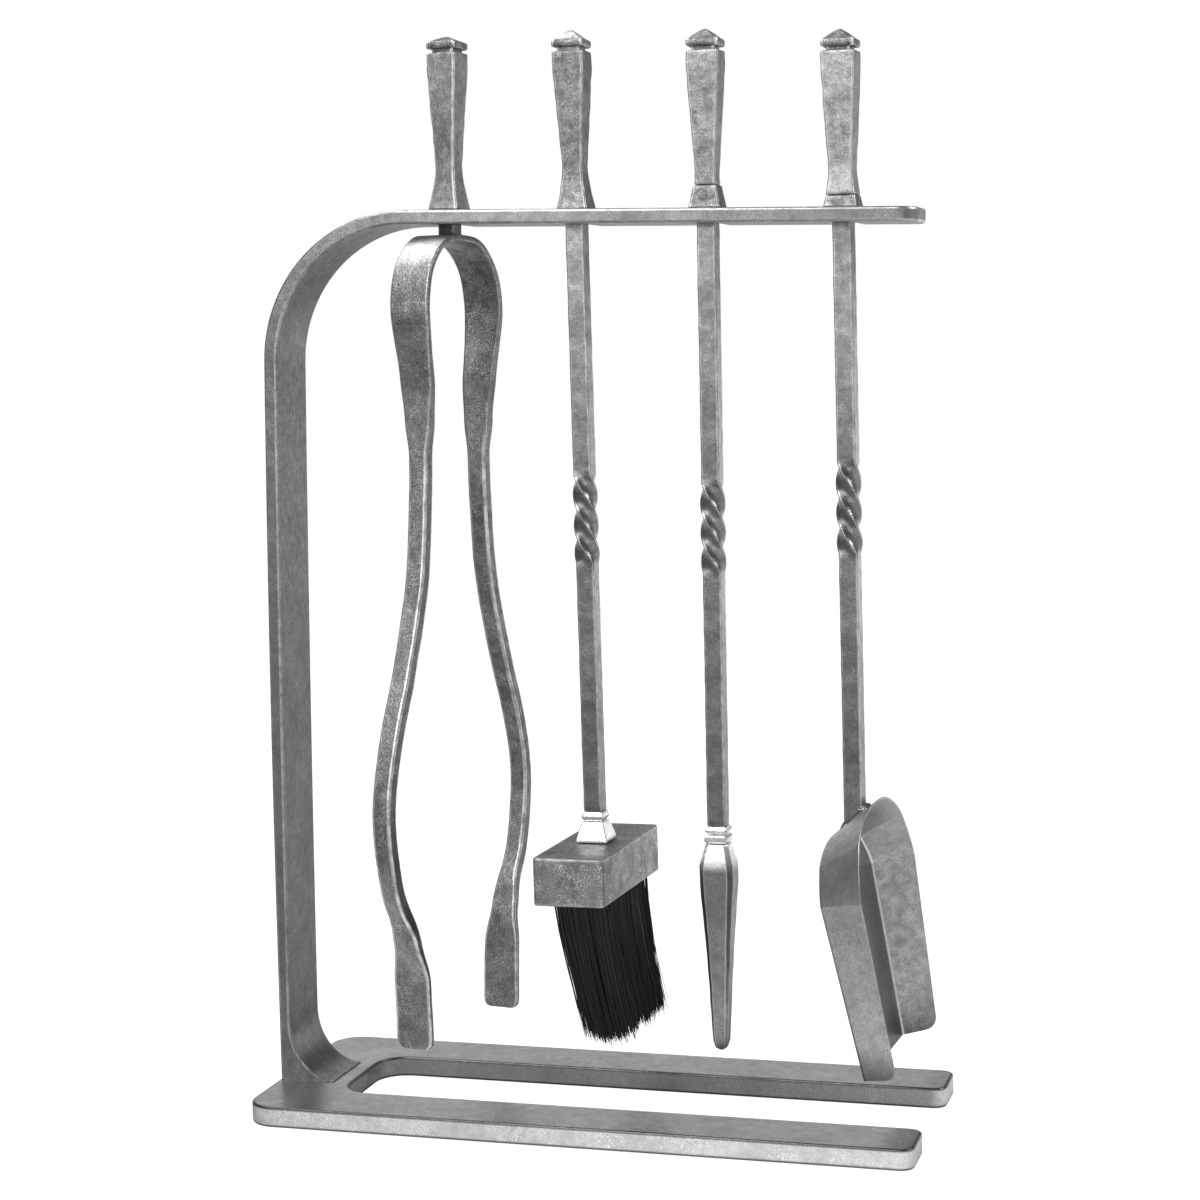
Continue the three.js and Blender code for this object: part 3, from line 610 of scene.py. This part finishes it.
def bar_body():
    body = Body()
    half = BAR["width"] / 2
    margin = 0.4  # with the edge it has to stay inside the notches' mouths
    stations = bar_stations()
    rows = []
    for outer, inner in stations:
        down = (inner - outer).normalized()
        profile = edge_profile((inner - outer).length, BAR["edge"], margin)
        ring = []
        for side, order in ((-1, profile), (1, profile[::-1])):
            for inset, depth, wear_and_painted_light in order:
                point = outer + down * depth
                ring.append(((point.x, side * (half - inset), point.y), wear_and_painted_light))
        rows.append(body.row(ring))
    for before, after in zip(rows, rows[1:]):
        body.bridge(before, after)
    body.close(rows[0])

    # The arm's edge rows start and end on the last ring of the bend.
    outer, inner = stations[-1]
    down = (inner - outer).normalized()
    along = Vector((-down.y, down.x))
    length = (BAR["arm_end"] - outer.x) / along.x
    outline = arm_outline(length)
    offsets = inward(outline, closed=False)
    last = rows[-1]
    count = len(last) // 2
    edges = []
    for k, (inset, depth, wear_and_painted_light) in enumerate(edge_profile(BAR["thickness"], BAR["edge"], margin)):
        points = []
        for point, offset in list(zip(outline, offsets))[1:-1]:
            plan = point + offset * inset
            place = outer + along * plan.x + down * depth
            points.append(((place.x, plan.y, place.y), wear_and_painted_light))
        edges.append([last[k]] + body.row(points) + [last[2 * count - 1 - k]])
    for above, below in zip(edges, edges[1:]):
        body.bridge(above, below, closed=False)
    body.close(edges[0])
    body.close(edges[-1])
    return body


def build_stand(origin, materials):
    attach(add_piece("base_plate", base_body(), origin, materials["base"]), "stand")
    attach(add_piece("stand_bar", bar_body(), origin, materials["bar"]), "stand")


# --- Handles and shafts ---


def grip_side(spec, height):
    if height < spec["waist_at"]:
        share = (spec["waist_at"] - height) / spec["waist_at"]
        return spec["waist"] + (spec["seat"] - spec["waist"]) * share ** FLARE
    share = (height - spec["waist_at"]) / (spec["top"] - HEAD_LENGTH - spec["waist_at"])
    return lerp(spec["waist"], spec["head"], min(share, 1))


def faded(slope, level):
    """The slope of a cut end fades out over the first levels above it."""
    return slope * max(0, 1 - level / 3)


def grip_levels(spec, low, high, slope=0.0, narrower=0.0):
    """Levels every few millimetres."""
    count = max(4, round((high - low) / 2.5))
    levels = []
    for i in range(count + 1):
        height = lerp(low, high, i / count)
        inset = narrower * max(0, (spec["waist_at"] - height) / (spec["waist_at"] - low)) if narrower else 0
        levels.append((height, grip_side(spec, height) - inset, 0.0, faded(slope, i)))
    return levels


def seat_slope(tool):
    return HANG[tool]["lean"] - BAR["sag"]


def build_handle(tool, place, materials, seed):
    spec = HANDLE[tool]
    pieces = []
    low = SEAT_GAP
    slope = seat_slope(tool)
    if "bolster" in spec:
        body = bar(grip_levels(spec, low, spec["bolster"] - 0.15, slope), 1.0, square)
        body.dent(6, 0.2, seed)
        pieces.append(add_piece(tool + "_bolster", body, place, materials["brush_handle"]))
        low, slope = spec["bolster"] + 0.15, 0.0
    body = bar(grip_levels(spec, low, spec["top"], slope, spec.get("step", 0)), 1.1, square)
    body.dent(8, 0.4, seed + 1)
    pieces.append(add_piece(tool + "_grip", body, place, materials[tool + "_handle"]))
    cap = cap_body(spec)
    cap.dent(9, 0.3, seed + 2)
    pieces.append(add_piece(tool + "_cap", cap, place, materials["cap"]))
    return pieces


def cap_body(spec):
    """A narrow neck, a square slab with eased edges, and a low pyramid."""
    slab = spec["top"] + CAP["groove"]
    shoulder = slab + CAP["slab"]
    head = spec["head"]
    levels = [
        (spec["top"] + 0.3, CAP["neck"] - 2), (spec["top"] + 0.3, CAP["neck"]), (slab, CAP["neck"]),
        (slab, head - 2.4), (slab + 0.3, head - 0.8), (slab + 1.0, head), (shoulder - 1.2, head),
        (shoulder - 0.4, head - 0.7), (shoulder + 0.1, head - 2.2), (shoulder + 0.4, head - 3.6),
        (shoulder + spec["peak"] * 0.55, head * 0.5), (shoulder + spec["peak"] * 0.93, 3.4),
        (shoulder + spec["peak"], 1.6),
    ]
    body = loft([square_ring(height, square(side), min(1.1, side / 5)) for height, side in levels])
    for i, point in enumerate(body.points):
        if point.z > shoulder + 0.2:
            body.wear_and_painted_light[i] = spec.get("polished", 0.2)
    return body


def shaft_levels(tool, bottom, slope=0.0):
    """Heights below the arm; the turn grows downwards through the twist."""
    x = HANG[tool]["x"]
    top = TWIST_TOP[tool] - arm_top(x)
    whole = SHAFT["turns"] * 2 * math.pi
    low = bottom - arm_top(x)
    side = SHAFT["side"]
    levels = []
    straight = round((top - SHAFT["twist"] - low) / 4)
    for i in range(straight):
        height = lerp(low, top - SHAFT["twist"], i / straight)
        levels.append((height, side, whole, faded(slope, i)))
    steps = 64
    for i in range(steps + 1):
        share = 1 - i / steps
        levels.append((top - share * SHAFT["twist"], side, share * whole, 0.0))
    straight = round(-top / 4)
    for i in range(1, straight + 1):
        height = lerp(top, -0.3, i / straight)
        levels.append((height, side, 0.0, 0.0))
    return levels


def build_shaft(tool, place, materials, bottom, slope=0.0, seed=0):
    body = bar(shaft_levels(tool, bottom, slope), 0.9, square, flats=5)
    body.dent(11, 0.28, seed)
    return add_piece(tool + "_shaft", body, place, materials["shaft"])


def build_ring(node, levels, place, materials, radius=0.8):
    body = bar(levels, radius, square, 0.4)
    return add_piece(node, body, place, materials["bright"])


def ride_all(pieces, body):
    for piece in pieces:
        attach(piece, body)


def lowered(tool, levels):
    return [(height - arm_top(HANG[tool]["x"]), side) for height, side in levels]


# --- Tongs ---


def catmull_rom(points, steps):
    """Centripetal curve through 2D points, which leaves out the last span."""
    points = [2 * points[0] - points[1]] + points
    curve = []
    for p0, p1, p2, p3 in zip(points, points[1:], points[2:], points[3:]):
        d0, d1, d2 = ((b - a).length ** 0.5 for a, b in ((p0, p1), (p1, p2), (p2, p3)))
        t1 = ((p1 - p0) / d0 - (p2 - p0) / (d0 + d1) + (p2 - p1) / d1) * d1
        t2 = ((p2 - p1) / d1 - (p3 - p1) / (d1 + d2) + (p3 - p2) / d2) * d1
        for i in range(steps):
            t = i / steps
            second = 3 * p2 - 3 * p1 - 2 * t1 - t2
            third = 2 * p1 - 2 * p2 + t1 + t2
            curve.append(p1 + t1 * t + second * t * t + third * t ** 3)
    return curve + [points[-2]]


def strip_section(height):
    for (high, *above), (low, *below) in zip(TONGS_SECTIONS, TONGS_SECTIONS[1:]):
        if height >= low:
            share = max(0.0, (high - height) / (high - low))
            share = share * share * (3 - 2 * share)
            return [lerp(a, b, share) for a, b in zip(above, below)]
    return TONGS_SECTIONS[-1][1:]


def strip_ring(at, along, width, thickness, side):
    """Ring across the strip; side mirrors it to the front or the back arm."""
    outward = Vector((-along.y, along.x))
    radius = min(1.5, thickness * 0.3)
    ring = []
    for point, wear_and_painted_light in rounded(rectangle(width, thickness), radius, margin=0.8):
        reach = at.x + outward.x * point.y
        height = at.y + outward.y * point.y
        ring.append(((point.x, side * reach - TONGS["offset"], height), wear_and_painted_light))
    return ring


def tongs_half(side):
    """One arm of the strip, from its tip up to the middle of the bow. Points are distance and height."""
    half = [Vector(point) for point in TONGS_PATH]
    mirrored = Vector((-half[1].x, half[1].y))
    path = catmull_rom(half[::-1] + [mirrored], 12)
    rings = []
    down = (path[0] - path[1]).normalized()
    width, thickness = strip_section(path[0].y)
    radius = TONGS["tip_radius"]
    for angle in (88, 70, 50, 25):
        reach = radius * (math.sin(math.radians(angle)) - 1)
        left = width - 2 * radius * (1 - math.cos(math.radians(angle)))
        thin = thickness * (0.7 if angle == 88 else 1)
        rings.append(strip_ring(path[0] + down * reach, -down, left, thin, side))
    for i, point in enumerate(path):
        if i and (point - path[0]).length > radius + 0.5:
            following = path[min(i + 1, len(path) - 1)]
            along = (following - path[i - 1]).normalized()
            if i == len(path) - 1:
                along = Vector((-1, 0))
            rings.append(strip_ring(point, along, *strip_section(point.y), side))
    seat = arm_top(HANG["tongs"]["x"])
    body = loft([[((x, y, z - seat), wear_and_painted_light) for (x, y, z), wear_and_painted_light in ring] for ring in rings])
    body.dent(24, 0.25, 4)
    for i, point in enumerate(body.points):
        height = point.z + seat
        # The edges are rubbed bright below the wide flats. The front of the bow, where it faces up, gets a
        # painted highlight.
        body.wear_and_painted_light[i] *= lerp(1, 0.2, min(1, max(0, (height - TONGS["bright_below"]) / 30)))
        if side < 0:
            body.wear_and_painted_light[i] = max(body.wear_and_painted_light[i], 0.3 - abs(height - TONGS["bow_painted_highlight"]) / 24)
    return body


def build_tongs(origin, materials):
    place = hanging(origin, "tongs")
    pieces = build_handle("tongs", place, materials, 1)
    seat = arm_top(HANG["tongs"]["x"])
    bow = TONGS["bow_top"] + TONGS_SECTIONS[0][2] / 2 - seat
    neck = bar([(bow, TONGS["neck"]), (-0.3, TONGS["neck"])], 0.9, square)
    pieces.append(add_piece("tongs_neck", neck, place, materials["dark"]))
    ride_all(pieces, "tongs")
    for name, side in (("front", -1), ("back", 1)):
        replaced = ["tongs_bow"] if side < 0 else []
        node = f"tongs_{name}_leg"
        piece = add_piece(node, tongs_half(side), place, materials["tongs"], replaced)
        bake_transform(piece)


# --- Brush ---


def block_body():
    """The block with its hollow underside."""
    corners = rectangle(BLOCK["width"], BLOCK["length"])
    outline = [point for point, wear_and_painted_light in rounded(corners, BLOCK["radius"], margin=0)]
    depth, wall = BLOCK["top"] - BLOCK["bottom"], BLOCK["wall"]
    profile = edge_profile(depth, BLOCK["edge"])[:-1]
    return plate(outline, BLOCK["top"], profile + [(wall, depth, 0.0), (wall, wall, 0.0)])


def bristle_point(x, y, drop):
    """Where a fibre that starts at x, y is, that far below the board."""
    spec = BRISTLES
    share = drop / (spec["top"] - spec["bottom"])
    close = lerp(1, spec["narrowing"], share)
    bend = max(0, share) ** 1.4 * (spec["top"] - spec["bottom"])
    return Vector((
        spec["x"] + x * close + spec["sweep_x"] * bend,
        spec["y"] + y * close + spec["sweep_y"] * bend,
        spec["top"] - drop,
    ))


def add_fibre(body, points, thick):
    rows = []
    for i, point in enumerate(points):
        radius = thick * (1 - 0.55 * i / (len(points) - 1))
        ring = []
        for k in range(3):
            angle = k * math.pi * 2 / 3
            ring.append((point + Vector((radius * math.cos(angle), radius * math.sin(angle), 0)), 0.0))
        rows.append(body.row(ring))
    body.skin(rows)


def scatter(draw, x, y):
    return Vector((draw.gauss(0, x), draw.gauss(0, y), 0))


def bristle_bodies():
    """Tufts of fibres round a plain dark core, and the few pale strays among them."""
    draw = random.Random(7)
    spec = BRISTLES
    length = spec["top"] - spec["bottom"]
    core = [(x * 0.84, y * 0.93) for x, y in rectangle(spec["width"], spec["length"])]
    rings = []
    for drop in (-0.2, length * 0.3, length * 0.6, length * 0.84):
        rings.append([(bristle_point(x, y, drop), 0.0) for x, y in core])
    black, pale = loft(rings), Body()
    across, along = spec["tufts_across"], spec["tufts_along"]
    for i in range(across):
        for j in range(along):
            x = (i + 0.5 + 0.5 * (j % 2) - 0.25) / across - 0.5
            y = (j + 0.5) / along - 0.5
            tuft_lean = scatter(draw, 0.012, 0.016)
            tuft_length = draw.gauss(0, 1.8)
            for _ in range(spec["fibres"]):
                root_x = x * spec["width"] * 0.97 + draw.gauss(0, 0.8)
                root_y = y * spec["length"] * 0.98 + draw.gauss(0, 1.0)
                fibre = length + tuft_length + draw.gauss(0, 2.2) - 2.5
                lean = tuft_lean + scatter(draw, 0.012, 0.016)
                curl = scatter(draw, 0.7, 0.8)
                points = []
                for k in range(5):
                    drop = fibre * k / 4
                    sway = lean * drop + curl * (k / 4) ** 2
                    points.append(bristle_point(root_x, root_y, drop) + sway)
                stray = x > 0.15 and y > 0.1 and draw.random() < 0.05
                add_fibre(pale if stray else black, points, spec["fibre_radius"])
    return black, pale


def build_brush(origin, materials):
    place = hanging(origin, "brush")
    pieces = build_handle("brush", place, materials, 5)
    pieces.append(build_shaft("brush", place, materials, BEAD[-1][0] + 0.3, seed=6))
    pieces.append(build_ring("brush_bead", lowered("brush", BEAD), place, materials))
    ferrule = refined(lowered("brush", FERRULE), 3)
    pieces.append(build_ring("brush_ferrule", ferrule, place, materials, 0.6))
    floor = place @ Matrix.Translation((0, BLOCK["middle"], -arm_top(HANG["brush"]["x"])))
    pieces.append(add_piece("brush_block", block_body(), floor, materials["block"]))
    black, pale = bristle_bodies()
    pieces.append(add_piece("brush_bristles", black, floor, materials["bristle"]))
    pieces.append(add_piece("brush_strays", pale, floor, materials["stray"], None))
    ride_all(pieces, "brush")


# --- Poker ---


def paint_shoulder_highlight(head):
    """The poker's shoulder, above its widest part, gets a painted highlight."""
    start = POKER_SHOULDER - arm_top(HANG["poker"]["x"])
    for i, point in enumerate(head.points):
        head.wear_and_painted_light[i] = max(0.35 * head.wear_and_painted_light[i], min(1.0, max(0.0, (point.z - start) / 6)))


def build_poker(origin, materials):
    place = hanging(origin, "poker")
    pieces = build_handle("poker", place, materials, 9)
    pieces.append(build_shaft("poker", place, materials, POKER_BEAD[-1][0] + 0.3, seed=10))
    pieces.append(build_ring("poker_bead", lowered("poker", POKER_BEAD), place, materials))
    pieces.append(build_ring("poker_collar", lowered("poker", POKER_COLLAR), place, materials))
    head = bar(refined(lowered("poker", POKER_HEAD), 4), 0.7, lambda side: octagon(side, 0.3), 0.5)
    paint_shoulder_highlight(head)
    head.dent(12, 0.3, 11)
    pieces.append(add_piece("poker_head", head, place, materials["head"]))
    ride_all(pieces, "poker")


# --- Shovel ---


def pan_columns():
    """Floor edge of the pan, from one end of the mouth round to the other: place, and outward angle."""
    side, side_bend, crease, back_bend, back = (Vector(point) for point in PAN_CORNER)
    heights = [0, 0.3, 0.8, 1.6, 2.8, 4.6, 7, 12] + [lerp(12, side.y, i / 12) for i in range(1, 12)]
    points = [Vector((lerp(PAN["mouth_half"], PAN["back_half"], z / PAN["length"]), z)) for z in heights]
    points += [quadratic(side, side_bend, crease, i / 10) for i in range(10)]
    points += [quadratic(crease, back_bend, back, i / 12) for i in range(13)]
    columns = []
    for i, point in enumerate(points):
        before, after = points[max(i - 1, 0)], points[min(i + 1, len(points) - 1)]
        along = after - before
        facing = math.atan2(-along.x, along.y) if i and i < len(points) - 1 else 0.0
        back_share = max(0.0, point.y - side.y) / (back.y - side.y)
        side_share = max(0.0, point.x - back.x) / (side.x - back.x)
        columns.append((point.x, point.y, math.atan2(back_share, side_share), max(facing, 0.0)))
    columns[-1] = (back.x, back.y, math.pi / 2, math.pi / 2)
    middle = [(lerp(back.x, -back.x, i / 4), back.y, math.pi / 2, math.pi / 2) for i in range(1, 4)]
    mirrored = [(-y, z, math.pi - angle, math.pi - facing) for y, z, angle, facing in reversed(columns)]
    return columns + middle + mirrored


def pan_profile(slope, height):
    """Sections of the outside and the inside, from floor to rim: distance outwards and height, with wear."""
    sheet = PAN["sheet"]
    wall = Vector((slope, 1)).normalized()
    rows = []
    for inset, radius in ((0.0, 3.4), (sheet, 2.0)):
        corner = Vector((-sheet * (1 - slope), sheet)) if inset else Vector((0, 0))
        arc = corner_arc(corner + Vector((-1, 0)), corner, corner + wall, radius, 9)[0]
        worn = [0.95 if inset and 1 < i < 9 else 0.0 for i in range(len(arc))]
        run = [(arc[0] + Vector((-3, 0)), 0.0)] + list(zip(arc, worn)) + [(arc[-1] + wall * 2, 0.0)]
        top = height - (0.4 if height > 8 else 0.1)
        for share in (0.5, 1):
            at = run[-1][0].y + (top - run[-1][0].y) * share
            reach = (at - corner.y) / wall.y
            run.append((corner + wall * reach, 0.0))
        rows.append(run)
    outer, inner = rows
    rim_outer = outer[-1][0] + Vector((-0.35, 0.4))
    rim_inner = inner[-1][0] + Vector((0.35, 0.4))
    return outer + [(rim_outer, 0.3)], inner + [(rim_inner, 0.3)]


def pan_body():
    body = Body()
    splay, back = PAN["splay"], PAN["back_slope"]
    outer_columns, inner_columns = [], []
    for y, z, angle, facing in pan_columns():
        out = Vector((splay * math.cos(angle), back * math.sin(angle)))
        slope = out.length
        height = (PAN["wall"] + PAN["growth"] * z) / (1 - PAN["growth"] * abs(out.y))
        radius = PAN["mouth_radius"]
        if z < radius:
            height -= radius - math.sqrt(radius ** 2 - (radius - z) ** 2)
        flat = Vector((math.cos(facing), math.sin(facing)))
        # The inner crease and rim are worn on both sides, and painted brighter on the far side, partly a
        # painted highlight.
        rubbed = 1 if y > 0 else 0.3
        for run, columns in zip(pan_profile(slope, height), (outer_columns, inner_columns)):
            column = []
            for point, wear_and_painted_light in run:
                offset = flat * point.x if point.x < 0 else out * (point.x / slope)
                column.append(((point.y, y + offset.x, z + offset.y), wear_and_painted_light * rubbed))
            columns.append(body.row(column))
    for columns in (outer_columns, inner_columns):
        for a, b in zip(columns, columns[1:]):
            body.bridge(a, b, closed=False)
        body.close([column[0] for column in columns])
    for (a, b), (c, d) in zip(zip(outer_columns, outer_columns[1:]), zip(inner_columns, inner_columns[1:])):
        body.faces.append((a[-1], b[-1], d[-1], c[-1]))
    for i in (0, -1):
        body.bridge(outer_columns[i], inner_columns[i], closed=False)
    body.close([outer_columns[0][0], outer_columns[-1][0], inner_columns[-1][0], inner_columns[0][0]])
    return body


def build_shovel(origin, materials):
    place = hanging(origin, "shovel")
    pieces = build_handle("shovel", place, materials, 13)
    seat = arm_top(HANG["shovel"]["x"])
    pan_place = place @ Matrix.Translation((PAN["mouth_x"], 0, PAN["mouth_height"] - seat))
    pan_place @= Matrix.Rotation(math.radians(PAN["turn"]), 4, "Z")
    pan_place @= Matrix.Rotation(-PAN["tilt"], 4, "Y")
    pan = add_piece("shovel_pan", pan_body(), pan_place, materials["pan"], smooth_angle=11)
    pieces.append(pan)
    slope = math.tan(math.atan(PAN["back_slope"]) + PAN["tilt"])
    back_x = PAN["mouth_x"] - PAN["length"] * math.sin(PAN["tilt"])
    back_height = PAN["mouth_height"] + PAN["length"] * math.cos(PAN["tilt"])
    bottom = back_height - back_x * slope
    pieces.append(build_shaft("shovel", place, materials, bottom + 0.6, slope, seed=14))
    low, side = bottom - seat, SHAFT["side"]
    rings = [square_ring(low + height, square(side + wider), 2.4, 0, slope) for height, wider in WELD]
    weld = loft(rings)
    weld.dent(3.5, 0.7, 15)
    pieces.append(add_piece("shovel_weld", weld, place, materials["shaft"], None))
    ride_all(pieces, "shovel")


# --- Scene ---


def finish_cad_nodes(frame, materials):
    """The pieces that stay as the CAD has them get their finish."""
    kept = {"foot_screw_front": "dark", "foot_screw_back": "dark", "brush_board": "wood"}
    for node, finish in kept.items():
        mesh = frame["nodes"][node].data
        mesh.materials.clear()
        mesh.materials.append(materials[finish])


def add_floor():
    """A pale sweep that the camera sees white.

    In reflections it glows in front of the stand, behind it and to its right.
    """
    bpy.ops.mesh.primitive_plane_add(size=40, location=(0.2, 0, -0.0005))
    floor = bpy.context.object
    floor.name = "floor"
    finish = Finish("floor_white")
    seen = finish.add("ShaderNodeLightPath").outputs["Is Camera Ray"]
    across, depth = finish.axis(finish.place, "X"), finish.axis(finish.place, "Y")
    near, far = finish.between(depth, -0.32, -0.14), finish.between(depth, -0.1, -0.06, 1, 0)
    to_right = finish.between(across, -0.4, 0.1, 0.45, 1)
    before = finish.math("MULTIPLY", finish.math("MULTIPLY", near, far), to_right)
    beside = finish.between(across, 0.2, 0.24, 0, 0.7)
    behind = finish.between(depth, 0.1, 0.4, 0, 0.4)
    around = finish.math("MAXIMUM", before, finish.math("MAXIMUM", beside, behind))
    glow = finish.between(around, 0.0, 1.0, 0.08, 1.0)
    glow = finish.between(seen, 0.0, 1.0, glow, 1.0)
    floor.data.materials.append(finish.finished({
        "Base Color": (0.2, 0.2, 0.2, 1), "Roughness": 0.9, "Specular IOR Level": 0.0,
        "Emission Color": (1, 1, 1, 1), "Emission Strength": glow,
    }))


def add_world():
    """White for the camera. For everything else it is pale at the horizon and darker above."""
    world = bpy.data.worlds.new("studio")
    bpy.context.scene.world = world
    world.use_nodes = True
    tree = world.node_tree
    background = next(node for node in tree.nodes if node.type == "BACKGROUND")
    direction = tree.nodes.new("ShaderNodeTexCoord").outputs["Generated"]
    split = tree.nodes.new("ShaderNodeSeparateXYZ")
    rise = tree.nodes.new("ShaderNodeMapRange")
    rise.inputs["From Min"].default_value = 0.0
    rise.inputs["From Max"].default_value = 0.2
    rise.inputs["To Min"].default_value = 0.5
    rise.inputs["To Max"].default_value = 0.13
    path = tree.nodes.new("ShaderNodeLightPath")
    mix = tree.nodes.new("ShaderNodeMixRGB")
    mix.inputs["Color2"].default_value = (1, 1, 1, 1)
    tree.links.new(direction, split.inputs[0])
    tree.links.new(split.outputs["Z"], rise.inputs["Value"])
    tree.links.new(rise.outputs[0], mix.inputs["Color1"])
    tree.links.new(path.outputs["Is Camera Ray"], mix.inputs["Fac"])
    tree.links.new(mix.outputs[0], background.inputs["Color"])


def add_light(name, location, target, size, radiance):
    """A rectangular soft box. Its power follows from its size and radiance."""
    data = bpy.data.lights.new(name, "AREA")
    data.shape = "RECTANGLE"
    data.size, data.size_y = size
    data.energy = radiance * math.pi * size[0] * size[1]
    light = bpy.data.objects.new(name, data)
    light.location = location
    light.rotation_euler = (Vector(target) - Vector(location)).to_track_quat("-Z", "Y").to_euler()
    light.visible_camera = False
    bpy.context.scene.collection.objects.link(light)


def add_camera(middle):
    azimuth, pitch, roll = (math.radians(CAMERA[angle]) for angle in ("azimuth", "pitch", "roll"))
    level = math.cos(pitch)
    forward = Vector((-math.sin(azimuth) * level, math.cos(azimuth) * level, -math.sin(pitch)))
    right = Vector((math.cos(azimuth), math.sin(azimuth), 0))
    up = right.cross(forward)
    turned_right = right * math.cos(roll) + up * math.sin(roll)
    turned_up = up * math.cos(roll) - right * math.sin(roll)
    data = bpy.data.cameras.new("camera")
    data.lens = CAMERA["lens"]
    data.sensor_width = 36
    data.clip_end = 100
    camera = bpy.data.objects.new("camera", data)
    rotation = Matrix((turned_right, turned_up, -forward)).transposed()
    camera.matrix_world = Matrix.Translation(middle + Vector(CAMERA["place"])) @ rotation.to_4x4()
    bpy.context.scene.collection.objects.link(camera)
    bpy.context.scene.camera = camera


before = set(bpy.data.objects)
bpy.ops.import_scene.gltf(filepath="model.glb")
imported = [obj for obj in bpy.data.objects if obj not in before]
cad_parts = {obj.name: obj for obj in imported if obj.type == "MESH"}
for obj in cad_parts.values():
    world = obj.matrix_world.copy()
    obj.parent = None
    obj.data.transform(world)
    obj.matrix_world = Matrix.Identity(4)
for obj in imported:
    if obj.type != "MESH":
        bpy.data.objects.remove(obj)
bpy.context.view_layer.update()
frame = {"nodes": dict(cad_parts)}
low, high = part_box("base_plate")
middle = Vector(((low.x + high.x) / 2, (low.y + high.y) / 2, low.z))
origin = Matrix.Translation(middle / MM)
materials = make_materials()
build_stand(origin, materials)
build_tongs(origin, materials)
build_brush(origin, materials)
build_poker(origin, materials)
build_shovel(origin, materials)
finish_cad_nodes(frame, materials)
add_floor()
add_world()
aim = middle + Vector((0, 0, 0.35))
for name, (location, size, radiance) in LIGHTS.items():
    add_light(name, location, aim, size, radiance)
add_camera(middle)
bpy.context.scene.view_settings.view_transform = "Standard"
